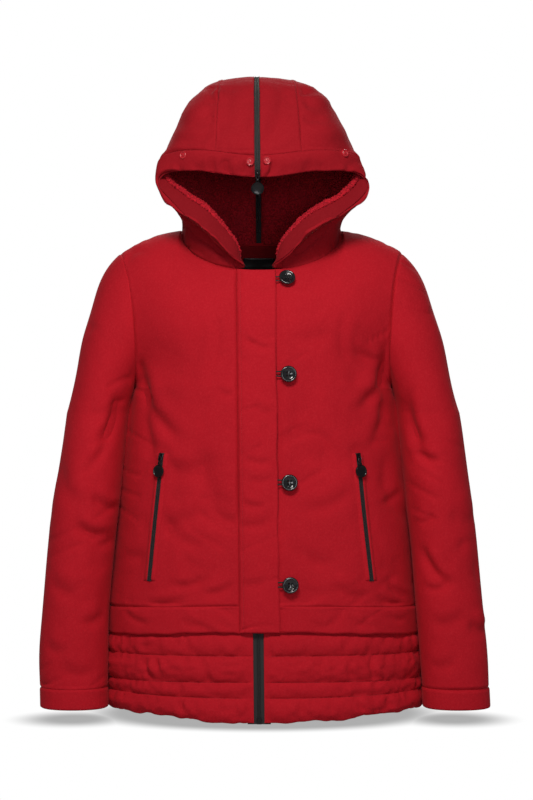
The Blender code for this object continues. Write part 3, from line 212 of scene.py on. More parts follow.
def noise(x, y, seed):
    """Smooth noise between -1 and 1 that changes over a distance of 1."""
    table = np.random.default_rng(seed).uniform(-1, 1, (97, 97))
    x, y = np.asarray(x, float) + 40.3, np.asarray(y, float) + 40.7
    i, j = np.floor(x).astype(int), np.floor(y).astype(int)
    s, t = x - i, y - j
    s, t = s * s * s * (s * (6 * s - 15) + 10), t * t * t * (t * (6 * t - 15) + 10)
    i0, i1, j0, j1 = i % 97, (i + 1) % 97, j % 97, (j + 1) % 97
    low = table[i0, j0] * (1 - s) + table[i1, j0] * s
    return low * (1 - t) + (table[i0, j1] * (1 - s) + table[i1, j1] * s) * t


def slack(x, z, seed, slant=0.5):
    """The soft hollows and thin creases of padded cloth that hangs, in mm. slant turns the creases."""
    hollows = 1.5 * noise(x / 95, z / 120, seed) + 0.8 * noise(x / 42, z / 50, seed + 1)
    along, across = x * math.cos(slant) + z * math.sin(slant), z * math.cos(slant) - x * math.sin(slant)
    line = noise(along / 85, across / 26, seed + 2)
    where = smoothstep(0.0, 0.5, noise(x / 60, z / 60, seed + 3))
    small = 0.25 * noise(x / 11, z / 11, seed + 4)
    return 1.3 * hollows - 2.2 * where * np.exp(-((line / 0.17) ** 2)) + small


CREASE_COLUMNS = ("x0", "z0", "x1", "z1", "width", "depth")


CREASE_DEPTH = 2.1  # the tables' depths are in units of about 2 mm


def creased(x, z, rows):
    """Single creases: each is a valley with a soft ridge above it, and fades at both ends."""
    lift = np.zeros(np.broadcast(x, z).shape)
    for crease in rows:
        row = dict(zip(CREASE_COLUMNS, crease))
        way = np.array([row["x1"] - row["x0"], row["z1"] - row["z0"]], float)
        length = np.linalg.norm(way)
        along = ((x - row["x0"]) * way[0] + (z - row["z0"]) * way[1]) / length**2
        across = ((z - row["z0"]) * way[0] - (x - row["x0"]) * way[1]) / length
        across = across * (1 if way[0] > 0 else -1) + 0.12 * length * (4 * along * (1 - along) - 0.5)
        fade = smoothstep(-0.12, 0.3, along) * (1 - smoothstep(0.65, 1.12, along))
        valley = np.exp(-((across / row["width"]) ** 2))
        ridge = np.exp(-(((across - 1.9 * row["width"]) / (1.3 * row["width"])) ** 2))
        lift += CREASE_DEPTH * fade * row["depth"] * (0.55 * ridge - valley)
    return lift


def spaced(length, step=3.6, first=True, last=True):
    """Shares from 0 to 1 a step apart, closer at the sewn ends."""
    close = np.array([0.0, 0.8, 1.8, 3.0, 4.4, 5.4, 6.2, 7.0, 8.4])
    start = close if first else np.array([0.0])
    end = length - (close[::-1] if last else np.array([0.0]))
    count = max(2, int(round((end[0] - start[-1]) / step)) + 1)
    return np.concatenate([start, np.linspace(start[-1], end[0], count)[1:-1], end]) / length


def even_rows(surface, low, high, step=3.6):
    """The v of rows that are evenly far apart along surface(v), closer at both ends."""
    fine = np.linspace(low, high, 300)
    run = np.concatenate([[0], np.cumsum(np.linalg.norm(np.diff(surface(fine), axis=0), axis=1))])
    return np.interp(spaced(run[-1], step) * run[-1], run, fine)


def runs(points, axis):
    """The distance of each grid point from the first one of its row (axis 1) or column (axis 0)."""
    steps = np.linalg.norm(np.diff(points, axis=axis), axis=-1)
    first = np.zeros_like(np.take(steps, [0], axis=axis))
    return np.cumsum(np.concatenate([first, steps], axis=axis), axis=axis)


def normals_of(surface, u, v, u_limits, v_limits):
    """Unit normals of surface(u, v), read a little inside its limits."""
    step = 0.004
    u = np.clip(u, u_limits[0] + step, u_limits[1] - step)
    v = np.clip(v, v_limits[0] + step, v_limits[1] - step)
    return unit(np.cross(surface(u + step, v) - surface(u - step, v),
        surface(u, v + step) - surface(u, v - step)))


def edge_dip(distance, kind, wall):
    """How far the cloth turns in near an edge: a seam's roll, a folded edge's round, or none."""
    if kind == "seam":
        return 2.0 * np.clip(1 - distance / 4.4, 0, 1) ** 2
    if kind == "fold":
        return wall * 0.5 * (1 - np.sqrt(np.clip(1 - np.clip(1 - distance / (wall * 0.55), 0, 1) ** 2, 0, 1)))
    return 0.0 * distance


def cloth(name, points, out, lift, wall, material, side=LEFT, edges=("seam",) * 4, closed=False):
    """A closed piece of cloth over a grid of points. edges are those of its first and last column and row.

    The outer face is the grid moved out by lift, settled to nothing at the seams, and the inner face is
    plain, a wall behind the grid. closed joins the last column to the first.
    """
    across, along = runs(points, 1), runs(points, 0)
    distances = (across, across[:, -1:] - across, along, along[-1:] - along)
    edges = ("none", "none", *edges[2:]) if closed else edges
    outer_in, inner_in, settled = 0.0 * across, 0.0 * across, 1.0 + 0.0 * across
    for kind, distance in zip(edges, distances):
        turned_in = edge_dip(distance, kind, wall)
        outer_in = np.maximum(outer_in, turned_in)
        inner_in = np.maximum(inner_in, turned_in if kind == "fold" else 0.0)
        settled = np.minimum(settled, smoothstep(-0.3, 5.0, distance) if kind == "seam" else 1.0)
    outer = leant(mirrored(points + out * (lift * settled - outer_in)[..., None], side)) / 1000
    inner = leant(mirrored(points - out * (wall - inner_in)[..., None], side)) / 1000
    rows, columns = points.shape[:2]
    index = np.arange(rows * columns).reshape(rows, columns)
    wide = np.concatenate([index, index[:, :1]], axis=1) if closed else index
    quads = np.stack([wide[:-1, :-1], wide[:-1, 1:], wide[1:, 1:], wide[1:, :-1]], axis=-1).reshape(-1, 4)
    faces = [quads, quads[:, ::-1] + index.size]
    rims = [wide[0], wide[-1][::-1]] + ([] if closed else [index[:, 0][::-1], index[:, -1]])
    for edge in rims:
        faces.append(np.stack([edge[1:], edge[:-1], edge[:-1] + index.size, edge[1:] + index.size], axis=-1))
    faces = np.concatenate(faces)
    verts = np.concatenate([outer.reshape(-1, 3), inner.reshape(-1, 3)])
    a, b, c, d = (verts[faces[:, k]] for k in range(4))
    if (np.einsum("ij,ij->i", a, np.cross(b, c)) + np.einsum("ij,ij->i", a, np.cross(c, d))).sum() < 0:
        faces = faces[:, ::-1]
    mesh = bpy.data.meshes.new(name)
    mesh.from_pydata(verts.tolist(), [], faces.tolist())
    grain = np.stack([across, along], axis=-1).reshape(-1, 2) / 1000
    loops = np.zeros(len(mesh.loops), int)
    mesh.loops.foreach_get("vertex_index", loops)
    mesh.uv_layers.new(name="grain").data.foreach_set("uv", np.concatenate([grain, grain])[loops].ravel())
    mesh.shade_smooth()
    mesh.materials.append(material)
    piece = bpy.data.objects.new(name, mesh)
    bpy.context.scene.collection.objects.link(piece)
    return piece


def dressed(piece, node, body="jacket"):
    """The piece takes the place of a node, which it hides, and moves with its body."""
    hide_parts(*([node] if isinstance(node, str) else node))
    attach(piece, body)


def cut(width, length, area):
    area = min(area, 0.99 * width * length)


def flat_area(points):
    """The area of a grid's surface, in square mm."""
    a, b = points[1:, 1:] - points[:-1, :-1], points[1:, :-1] - points[:-1, 1:]
    return float(np.linalg.norm(np.cross(a, b), axis=-1).sum() / 2)


def microfibre(name, cloth_hex, dark_hex, light_hex):
    """Brushed polyester microfibre, plain weave, piece-dyed: matt, with a faint bloom at its edges."""
    made, tree = empty_material(name)
    grain = add_node(tree, "ShaderNodeUVMap", uv_map="grain")
    place = add_node(tree, "ShaderNodeTexCoord")
    cloudy = add_node(tree, "ShaderNodeTexNoise", [("Vector", place, "Object")],
        inputs={"Scale": 16.0, "Detail": 3.0, "Roughness": 0.55})
    brushed = add_node(tree, "ShaderNodeTexNoise", [("Vector", place, "Object")],
        inputs={"Scale": 420.0, "Detail": 3.0, "Roughness": 0.7})
    tone = add_node(
        tree, "ShaderNodeMix", [("Factor", cloudy, "Fac")], data_type="RGBA",
        inputs={6: colour(dark_hex), 7: colour(cloth_hex)},
    )
    speck = add_node(tree, "ShaderNodeMapRange", [("Value", brushed, "Fac")],
        inputs={"From Min": 0.45, "From Max": 0.75, "To Min": 0.0, "To Max": 0.35})
    final = add_node(
        tree, "ShaderNodeMix", [("Factor", speck, 0), (6, tone, 2)], data_type="RGBA",
        inputs={7: colour(light_hex)}
    )
    # Threads are 0.35 mm apart in the real cloth; 1.1 mm is the finest that the render shows.
    warp = add_node(tree, "ShaderNodeTexWave", [("Vector", grain, "UV")], wave_type="BANDS",
        bands_direction="X", inputs={"Scale": 1000 / 1.1 / 6.2832 * 1.0, "Distortion": 0.6})
    weft = add_node(tree, "ShaderNodeTexWave", [("Vector", grain, "UV")], wave_type="BANDS",
        bands_direction="Y", inputs={"Scale": 1000 / 1.1 / 6.2832 * 1.0, "Distortion": 0.6})
    weave = add_node(tree, "ShaderNodeMath", [(0, warp, "Fac"), (1, weft, "Fac")], operation="MULTIPLY")
    crumple = add_node(tree, "ShaderNodeTexNoise", [("Vector", place, "Object")],
        inputs={"Scale": 75.0, "Detail": 4.0, "Roughness": 0.6, "Distortion": 0.4})
    fine = add_node(tree, "ShaderNodeBump", [("Height", weave, 0)],
        inputs={"Strength": 0.25, "Distance": 0.0002})
    nap = add_node(tree, "ShaderNodeBump", [("Height", brushed, "Fac"), ("Normal", fine, 0)],
        inputs={"Strength": 0.3, "Distance": 0.0004})
    soft = add_node(tree, "ShaderNodeBump", [("Height", crumple, "Fac"), ("Normal", nap, 0)],
        inputs={"Strength": 0.35, "Distance": 0.0016})
    skin = add_node(
        tree, "ShaderNodeBsdfPrincipled", [("Base Color", final, 2), ("Normal", soft, 0)],
        inputs={"Roughness": 0.88, "Sheen Weight": 0.1, "Sheen Roughness": 0.4,
        "Sheen Tint": colour("#ff7f85"), "Specular IOR Level": 0.1},
    )
    add_node(tree, "ShaderNodeOutputMaterial", [("Surface", skin, 0)])
    return made


red_microfibre = microfibre("red_microfibre", "#bb1826", "#a91421", "#cc2c36")

UNDERARM, FOOT = -228.0, -700.0
NECK_HALF_WIDTH, NECK_SIDE_HEIGHT = 117.0, 2.0
SHOULDER_TIP, SHOULDER_BOW = (204.0, 0.0, -31.0), 6.0
ARMHOLE_HALF_DEPTH = 72.0
YOKE_ANGLE = math.radians(108)
YOKE_HEIGHT = {FRONT: -112.0, BACK: -84.0}
NECK_DEPTH = {FRONT: 100.0, BACK: 88.0}
NECK_HEIGHT = {FRONT: -61.0, BACK: -10.0}
NECK_SHARE, FULLNESS = 0.58, 0.60
RING_COLUMNS = ("height", "half_width", "front", "back", "front_rise")
RINGS = (
    (-700, 231.5, 158, 148, -10), (-655, 230.5, 156, 146, 0), (-639, 230.2, 155, 145, 6),
    (-602, 229.5, 152, 142, 5),
    (-577, 228.0, 150, 140, 12), (-538, 224.5, 149, 136, 10), (-470, 217.0, 147, 131, 4),
    (-400, 208.5, 143, 124, 0),
    (-310, 197.5, 139, 119, 0), (-228, 188.0, 137, 121, 0), (-160, 184.0, 131, 122, 0),
    (-100, 182.0, 117, 114, 0),
    (-61, 182.0, 101, 104, 0), (-10, 182.0, 90, 88, 0),
)
ARMHOLE_COLUMNS = ("angle", "x")
ARMHOLE = ((0, 188), (30, 183), (60, 180), (90, 182), (120, 188), (150, 197), (180, 204))


def ring(column, height):
    return lookup(RING_COLUMNS, RINGS, "height", column, height)


def armhole(face, angle):
    half = (SHOULDER_TIP[2] - UNDERARM) / 2
    x = lookup(ARMHOLE_COLUMNS, ARMHOLE, "angle", "x", np.degrees(angle))
    middle = (UNDERARM + SHOULDER_TIP[2]) / 2
    return stack(x, face * ARMHOLE_HALF_DEPTH * np.sin(angle), middle - half * np.cos(angle))


def neckline(face, share):
    turn = np.asarray(share, float) * math.pi / 2
    lift = (NECK_SIDE_HEIGHT - NECK_HEIGHT[face]) * np.maximum(1 - np.cos(turn), 0) ** 1.1
    return stack(NECK_HALF_WIDTH * np.sin(turn), face * NECK_DEPTH[face] * np.cos(turn),
        NECK_HEIGHT[face] + lift)


def top_edge(face, u):
    along = np.clip((u - NECK_SHARE) / (1 - NECK_SHARE), 0, 1)
    start = np.array([NECK_HALF_WIDTH, 0.0, NECK_SIDE_HEIGHT])
    seam = start + along[..., None] * (np.array(SHOULDER_TIP) - start)
    seam[..., 2] += SHOULDER_BOW * np.sin(math.pi * along)
    return np.where((u < NECK_SHARE)[..., None], neckline(face, np.clip(u / NECK_SHARE, 0, 1)), seam)


def chest_row(face, u, v):
    low = FOOT + (UNDERARM - FOOT) * np.clip(v, 0, 1)
    high = UNDERARM + (YOKE_HEIGHT[face] - UNDERARM) * np.clip(v - 1, 0, 1)
    height = np.where(v < 1, low, high)
    depth = ring("front" if face == FRONT else "back", height)
    rise = ring("front_rise", low) if face == FRONT else 0.0 * low
    angle = YOKE_ANGLE * np.clip(v - 1, 0, 1)
    edge = np.where((v < 1)[..., None], stack(ring("half_width", low), 0.0 * low, low), armhole(face, angle))
    width = edge[..., 0]
    centre = stack(0.0 * depth, face * depth, height + rise)
    near_centre = stack((FULLNESS - 0.06 * np.clip(v - 1, 0, 1)) * width, face * depth, height + rise)
    round_side = stack(width, face * FULLNESS * depth, edge[..., 2])
    arrival = math.radians(58)
    at_armhole = edge + 66.0 * np.array([-math.sin(arrival), face * math.cos(arrival), 0.0])
    past_side = smoothstep(0, 1.5, angle)[..., None]
    near_edge = (1 - past_side) * round_side + past_side * at_armhole
    t = u[..., None]
    return (1 - t) ** 3 * centre + 3 * (1 - t) ** 2 * t * near_centre + 3 * (1
        - t) * t**2 * near_edge + t**3 * edge


def shoulder_row(face, u, upper):
    yoke = chest_row(face, u, np.full_like(upper, 2.0))
    before = chest_row(face, u, np.full_like(upper, 1.97))
    top = top_edge(face, u)
    chord = np.linalg.norm(top - yoke, axis=-1, keepdims=True)
    steepness = np.radians(72 - 62 * smoothstep(0.0, NECK_SHARE, u))
    arrive = stack(0.0 * u, -face * np.cos(steepness), np.sin(steepness))
    return hermite(yoke, top, unit(yoke - before) * chord, arrive * chord, upper)


def body_point(face, u, v):
    """The jacket's surface: u from the centre (0) to the side (1), v from the foot up to the shoulder (3)."""
    u, v = np.broadcast_arrays(np.clip(np.asarray(u, float), 0, 1), np.clip(np.asarray(v, float), 0, 3))
    upper = np.clip(v - 2, 0, 1)
    at_arm = armhole(face, YOKE_ANGLE + (math.pi - YOKE_ANGLE) * upper)
    missed = at_arm - shoulder_row(face, np.ones_like(u), upper)
    shoulder = shoulder_row(face, u, upper) + missed * smoothstep(0.5, 1, u)[..., None]
    return np.where((v < 2)[..., None], chest_row(face, u, np.clip(v, 0, 2)), shoulder)


def height_to_v(height):
    return (np.asarray(height, float) - FOOT) / (UNDERARM - FOOT)


def share_at_x(surface, x, v, low, high):
    """The u where surface(u, v) is x from the centre line, for each v."""
    shares = np.linspace(low, high, 121)
    xs = surface(shares[None, :], np.asarray(v, float)[:, None])[..., 0]
    order = np.argsort(xs, axis=1)
    return np.array([np.interp(x, row[rank], shares[rank]) for row, rank in zip(xs, order)])


def front_share_at_x(x, v):
    return share_at_x(lambda a, b: body_point(FRONT, a, b), x, v, 0.0, 0.85)


SEAM_HEIGHT, BAND_END = -538.0, -577.0
FLY_SEAM_X, FLY_EDGE_X, FLY_SLOPE, UNDER_FLY = -32.0, 23.5, 10.0, 3.2
SHELL = 6.0


def away_from_armhole(points, angle):
    """Directions shared by both sides of the armhole's seam: sideways underneath, else off its middle."""
    middle = np.array([0.0, 0.0, (UNDERARM + SHOULDER_TIP[2]) / 2])
    radial = unit((points - middle) * np.array([0.0, 1.0, 1.0]))
    share = smoothstep(0.0, math.radians(16), angle)[..., None]
    return unit(np.array([1.0, 0.0, 0.0]) * (1 - share) + radial * share)


def body_out(face, u, v):
    """Unit normals of the jacket's surface, which along a seam are those of the next piece as well."""
    u, v = np.broadcast_arrays(np.asarray(u, float), np.asarray(v, float))
    surface = body_point(face, u, v)
    out = normals_of(lambda a, b: body_point(face, a, b), u, v, (0, 1), (0, 3)) * -face
    seam_angle = np.where(v < 2, YOKE_ANGLE * (v - 1), YOKE_ANGLE + (math.pi - YOKE_ANGLE) * (v - 2))
    near_arm = (smoothstep(0.985, 1.0, u) * (v > 1))[..., None]
    out = out * (1 - near_arm) + away_from_armhole(surface, np.clip(seam_angle, 0, math.pi)) * near_arm
    near_top = smoothstep(2.96, 3.0, v)[..., None]
    off_axis = unit(surface * np.array([1.0, 1.0, 0.0]))
    on_shoulder = smoothstep(NECK_SHARE - 0.01, NECK_SHARE + 0.02, u)[..., None]
    return unit(out * (1 - near_top)
        + (off_axis * (1 - on_shoulder) + np.array([0.0, 0.0, 1.0]) * on_shoulder) * near_top)


def front_columns(start_x, rows, step=3.6):
    """The u of a front's columns from start_x to the side seam, for each row."""
    start = front_share_at_x(start_x, rows)[:, None]
    near = start + (NECK_SHARE - start) * spaced(130.0, step, True, False)
    far = NECK_SHARE + (1 - NECK_SHARE) * spaced(165.0, step, False, True)[1:]
    return np.concatenate([near, np.broadcast_to(far, (len(rows), len(far)))], axis=1)


def sunk_by_fly(x):
    return UNDER_FLY * (1 - smoothstep(FLY_EDGE_X + 1, FLY_EDGE_X + FLY_SLOPE, x))


def with_underlap(points, out, lift, x=-8.0):
    """The grid with one more column, which runs on under the fly."""
    points = np.concatenate([points[:, :1] + np.array([x, 0.0, 0.0]), points], axis=1)
    return points, np.concatenate([out[:, :1], out], axis=1), np.concatenate([lift[:, :1], lift], axis=1)


def puckers(distance, position, seed, depth=0.9, pitch=8.0, reach=13.0):
    """Short creases that run away from a sewn line: position is along the line, in mm."""
    return -depth * np.exp(-distance / reach) * smoothstep(-0.1, 0.7,
        noise(position / pitch, distance / 40, seed))


POCKET_COLUMNS = ("side", "top_x", "top_z", "bottom_x", "bottom_z")
POCKETS = ((RIGHT, 141.0, -318.0, 158.0, -500.0), (LEFT, 132.0, -318.0, 152.0, -500.0))


def beside_pocket(side, x, z):
    """0 at the pocket's zip, where its welts hold the cloth flat, and 1 from 20 mm away."""
    row = dict(zip(POCKET_COLUMNS, POCKETS[0] if side == RIGHT else POCKETS[1]))
    middle = row["top_x"] + (row["bottom_x"] - row["top_x"]) * (row["top_z"] - z) / (row["top_z"]
        - row["bottom_z"])
    past_ends = np.maximum(np.maximum(z - row["top_z"], row["bottom_z"] - z), 0.0)
    return smoothstep(6.0, 20.0, np.hypot(x - middle, past_ends))


RIGHT_CREASES = (  # x0, z0, x1, z1, width, depth
    (-182, -188, -128, -300, 9, 2.6), (-170, -215, -150, -330, 8, 2.0), (-60, -120, -72, -210, 7, 0.9),
    (-150, -350, -60, -330, 12, 1.4), (-95, -300, -45, -420, 16, 1.8), (-178, -300, -110, -345, 9, 1.3),
    (-175, -420, -70, -400, 11, 1.5), (-165, -395, -80, -455, 10, 1.3), (-70, -400, -34, -415, 7, 1.2),
    (-125, -505, -75, -490, 6, 1.5), (-80, -515, -36, -497, 6, 1.4), (-160, -530, -110, -521, 6, 1.6),
    (-60, -232, -36, -238, 5, 0.9), (-190, -470, -150, -450, 8, 1.3),
)
LEFT_CREASES = (
    (182, -170, 140, -262, 9, 2.8), (175, -205, 158, -310, 8, 2.0), (112, -120, 118, -200, 7, 0.8),
    (48, -235, 118, -352, 15, 2.0), (40, -272, 76, -336, 9, 1.4), (120, -205, 182, -268, 10, 1.5),
    (126, -172, 165, -190, 6, 1.3), (60, -400, 128, -372, 10, 1.2), (165, -330, 200, -420, 9, 1.6),
    (168, -392, 196, -372, 6, 1.3), (40, -440, 92, -478, 9, 1.2), (96, -500, 140, -520, 7, 1.4),
    (176, -500, 205, -525, 5, 1.8), (160, -520, 200, -533, 5, 1.5), (44, -160, 100, -150, 11, 0.9),
)
panel_rows = even_rows(lambda v: body_point(FRONT, np.full_like(v, 0.35), v), height_to_v(SEAM_HEIGHT), 3.0)
FRONTS = ((RIGHT, "right", -FLY_SEAM_X, RIGHT_CREASES), (LEFT, "left", 0.0, LEFT_CREASES))
for side, word, start_x, creases in FRONTS:
    u = front_columns(start_x, panel_rows)
    v = np.broadcast_to(panel_rows[:, None], u.shape)
    points, out = body_point(FRONT, u, v), body_out(FRONT, u, v)
    x, z = side * points[..., 0], points[..., 2]
    along, across = runs(points, 0), runs(points, 1)
    lift = slack(x, z, 11 if side == RIGHT else 23, 0.5 * side) + creased(x, z, creases)
    lift += puckers(along, x, 31) + puckers(along[-1:] - along, x, 33)
    lift += puckers(across[:, -1:] - across, z, 37)
    lift *= beside_pocket(side, points[..., 0], z)
    lift += 6.0 * smoothstep(-232, -258, z) * smoothstep(-420, -370, z) * np.exp(-(((u - 0.94) / 0.05) ** 2))
    if side == LEFT:
        points, out, lift = with_underlap(points, out, lift - sunk_by_fly(points[..., 0]))
    edges = ("seam" if side == RIGHT else "none", "seam", "seam", "seam")
    front = cloth(f"front_panel_{word}", points, out, lift, SHELL, red_microfibre, side, edges)
    dressed(front, "front_" + word)
    cut(262 if side == LEFT else 230, 560, flat_area(points))

rows = even_rows(lambda v: body_point(BACK, np.full_like(v, 0.35), v), height_to_v(SEAM_HEIGHT), 3.0, 4.4)
near_neck = spaced(130.0, 4.2, False, False) * NECK_SHARE
u = np.concatenate([near_neck, NECK_SHARE + (1 - NECK_SHARE) * spaced(150.0, 4.2, False, True)[1:]])
u, v = np.meshgrid(u, rows)
points, out = both_halves(body_point(BACK, u, v)), both_halves(body_out(BACK, u, v))
x, z = points[..., 0], points[..., 2]
along, across = runs(points, 0), runs(points, 1)
lift = slack(x, z, 41, 0.2) + slack(-x, z, 43, -0.3) * 0.6
BACK_CREASES = (
    (-150, -330, -60, -345, 11, 1.8), (60, -350, 150, -325, 11, 1.8), (-120, -395, 110, -402, 13, 1.6),
    (-160, -180, -120, -300, 10, 2.0), (160, -180, 118, -300, 10, 2.0), (-90, -480, 60, -470, 12, 1.4),
    (20, -150, 120, -190, 13, 1.3), (-170, -430, -60, -455, 9, 1.3), (70, -440, 175, -420, 9, 1.3),
)
lift += creased(x, z, BACK_CREASES) + puckers(along, x, 47) + puckers(along[-1:] - along, x, 49)
under_arm = smoothstep(-232, -258, z) * smoothstep(-420, -370, z)
lift += 8.0 * under_arm * np.exp(-(((np.abs(both_halves(stack(u, u, u))[..., 2]) - 0.92) / 0.07) ** 2))
back = cloth("back_panel", points, out, lift, SHELL, red_microfibre)
dressed(back, "back")
cut(590, 560, flat_area(points))

# ---------------------------------------------------------------------------------------------
# Fly: the strip that covers the buttons' edge. A folded strip of the same cloth and wadding, sewn
# to the right front and topstitched, with its free edge held by elastic loops round the buttons.
# ---------------------------------------------------------------------------------------------

FLY_STEP, FLY_WALL = 2.2, 5.0
FLY_CREASES = (
    (-22, -158, 16, -174, 4, 1.3), (-25, -325, 14, -332, 5, 0.8), (-28, -385, 4, -392, 5, 0.9),
    (-20, -356, 20, -352, 6, 0.7), (-10, -255, 20, -262, 6, 0.6), (-28, -420, 18, -410, 7, 0.8),
    (-28, -500, 10, -492, 6, 0.7), (-24, -90, 18, -98, 7, 0.6),
)
rows = even_rows(lambda v: body_point(FRONT, 0.0 * v, v), height_to_v(BAND_END), 3.0, 3.0)
xs = FLY_SEAM_X + (FLY_EDGE_X - FLY_SEAM_X) * spaced(FLY_EDGE_X - FLY_SEAM_X, 2.6)
columns = [front_share_at_x(abs(x), rows) for x in xs]
u, v = np.stack(columns, axis=1), np.broadcast_to(rows[:, None], (len(rows), len(xs)))
sign = np.stack([np.sign(xs), np.ones_like(xs), np.ones_like(xs)], axis=-1)
points, out = body_point(FRONT, u, v) * sign, body_out(FRONT, u, v) * sign
x, z = points[..., 0], points[..., 2]
from_edge = FLY_EDGE_X - x
points = points + out * (FLY_STEP * smoothstep(0.0, 5.0, x - FLY_SEAM_X))[..., None]
points[..., 0] += 1.3 * noise(z / 34, 0.0 * z, 61) * smoothstep(0.3, 1.0,
    (x - FLY_SEAM_X) / (FLY_EDGE_X - FLY_SEAM_X))
lift = 0.6 * slack(x, z, 63, 0.3) + creased(x, z, FLY_CREASES)
lift -= 0.9 * np.exp(-(((x - FLY_SEAM_X - 6.5) / 1.3) ** 2))  # the topstitched line beside the seam
lift += puckers(np.abs(x - FLY_SEAM_X - 6.5), z, 67, 0.6, 6.0, 6.0)
lift += 0.9 * noise(z / 22, from_edge / 30, 69) * smoothstep(22, 0, from_edge)
fly = cloth("fly_strip", points, out, lift, FLY_WALL, red_microfibre, edges=("seam", "fold", "fold", "seam"))
dressed(fly, "placket")
cut(57, 560, flat_area(points))

# ---------------------------------------------------------------------------------------------
# Hem band: a plain strip in three pieces, doubled at its lower edge, that ends the outer layer and
# hangs free over the quilted one.
# ---------------------------------------------------------------------------------------------

BAND_CREASES = (
    (-196, -544, -158, -558, 5, 1.1), (-112, -548, -86, -560, 5, 0.7), (-60, -546, -44, -562, 5, 0.5),
    (124, -545, 140, -560, 4, 1.1), (142, -545, 150, -562, 4, 1.0), (176, -546, 200, -556, 5, 1.0),
    (66, -552, 92, -558, 5, 0.5),
)
band_rows = height_to_v(BAND_END) + (height_to_v(SEAM_HEIGHT) - height_to_v(BAND_END)) * spaced(39.0, 2.6)
for side, word in ((RIGHT, "right"), (LEFT, "left")):
    u = front_columns(-FLY_SEAM_X if side == RIGHT else 0.0, band_rows)
    v = np.broadcast_to(band_rows[:, None], u.shape)
    points, out = body_point(FRONT, u, v), body_out(FRONT, u, v)
    x, z = side * points[..., 0], points[..., 2]
    along, across = runs(points, 0), runs(points, 1)
    lift = 0.8 * slack(x, z, 71 + side, 0.5 * side) + creased(x, z, BAND_CREASES)
    lift += puckers(along[-1:] - along, x, 73, 1.0, 9.0, 10.0) + puckers(along, x, 75, 0.8, 7.0, 7.0)
    points = points + np.array([0.0, 0.0, 1.0]) * (1.4 * noise(x / 21, 0.0 * x, 77)
        * smoothstep(16, 0, along))[..., None]
    if side == LEFT:
        points, out, lift = with_underlap(points, out, lift - sunk_by_fly(points[..., 0]))
    edges = ("seam" if side == RIGHT else "none", "seam", "fold", "seam")
    band = cloth(f"hem_band_{word}", points, out, lift, SHELL, red_microfibre, side, edges)
    dressed(band, "band_" + word)
    cut(300 if side == LEFT else 265, 45, flat_area(points))
u = np.concatenate([spaced(130.0, 3.6, False, False) * NECK_SHARE,
    NECK_SHARE + (1 - NECK_SHARE) * spaced(165.0, 3.6, False, True)[1:]])
u, v = np.meshgrid(u, band_rows)
points, out = both_halves(body_point(BACK, u, v)), both_halves(body_out(BACK, u, v))
x, z = points[..., 0], points[..., 2]
along = runs(points, 0)
lift = 0.8 * slack(x, z, 81, 0.2) + puckers(along[-1:] - along, x, 83, 1.0, 9.0, 10.0) + puckers(along, x,
    85, 0.8, 7.0, 7.0)
points = points + np.array([0.0, 0.0, 1.0]) * (1.4 * noise(x / 21, 0.0 * x, 87)
    * smoothstep(16, 0, along))[..., None]
band = cloth("hem_band_back", points, out, lift, SHELL, red_microfibre,
    edges=("seam", "seam", "fold", "seam"))
dressed(band, "band_back")
cut(600, 45, flat_area(points))

# ---------------------------------------------------------------------------------------------
# Quilted layer: shows below the band in three pieces. Four rows of wadding are held by sewn lines,
# and the lines gather the cloth into short creases. The fronts are sewn to the zip's tape.
# ---------------------------------------------------------------------------------------------

QUILT_TOP, QUILT_HEM, QUILT_WALL, QUILT_INSET = -557.0, -682.0, 5.0, 7.0
QUILT_COLUMNS = ("top", "bottom", "puff")
QUILT_ROWS = ((-579, -602, 4.8), (-602, -639, 6.4), (-639, -655, 3.8), (-655, -682, 5.8))
HEM_ZIP_X, HEM_ZIP_HALF, HEM_TAPE_HALF, ZIP_EDGE_WALL = -6.0, 7.5, 16.0, 2.0
QUILT_CREASES = (
    (-152, -604, -146, -622, 4, 2.2), (-168, -606, -160, -634, 4, 2.0), (-176, -590, -150, -581, 4, 1.4),
    (-120, -660, -112, -676, 4, 1.6), (150, -606, 160, -634, 4, 2.2), (118, -608, 124, -630, 4, 1.5),
    (130, -658, 140, -678, 4, 1.7), (80, -606, 86, -624, 4, 1.2), (-80, -612, -74, -634, 4, 1.3),
    (172, -660, 180, -676, 4, 1.6), (-40, -658, -36, -676, 4, 1.2), (50, -660, 56, -678, 4, 1.1),
)


def quilt_lift(height, position, seed):
    """How far the quilt stands out: domed rows with slow waves, gathered along each sewn line."""
    lift = np.zeros(np.broadcast(height, position).shape)
    for number, quilt_row in enumerate(QUILT_ROWS):
        row = dict(zip(QUILT_COLUMNS, quilt_row))
        tall = row["top"] - row["bottom"]
        t = np.clip((row["top"] - height) / tall, 0, 1)
        from_line = np.minimum(t, 1 - t) * tall
        wave = 1 + 0.22 * noise(position / 36, 3.1 * number + t, seed) + 0.12 * noise(position / 13,
            5.7 * number + t, seed + 1)
        line = 7.0 * number + 2.5 * (t > 0.5)
        gather = smoothstep(-0.1, 0.6,
            noise(position / 6.2 + 0.05 * from_line, line + from_line / 60, seed + 2))
        gather = gather * np.minimum(from_line / 2.2, 1) * np.exp(-from_line / 7.5)
        bent = 0.3 * noise(position / 17, height / 17, seed + 7)
        crumple = noise(position / 11 + bent, height / 6.5, seed + 8)
        crumple = 1.5 * crumple * np.minimum(from_line / 4, 1)
        lift += row["puff"] * wave * np.sin(math.pi * t) ** 0.6 - 2.9 * gather + crumple
    return lift


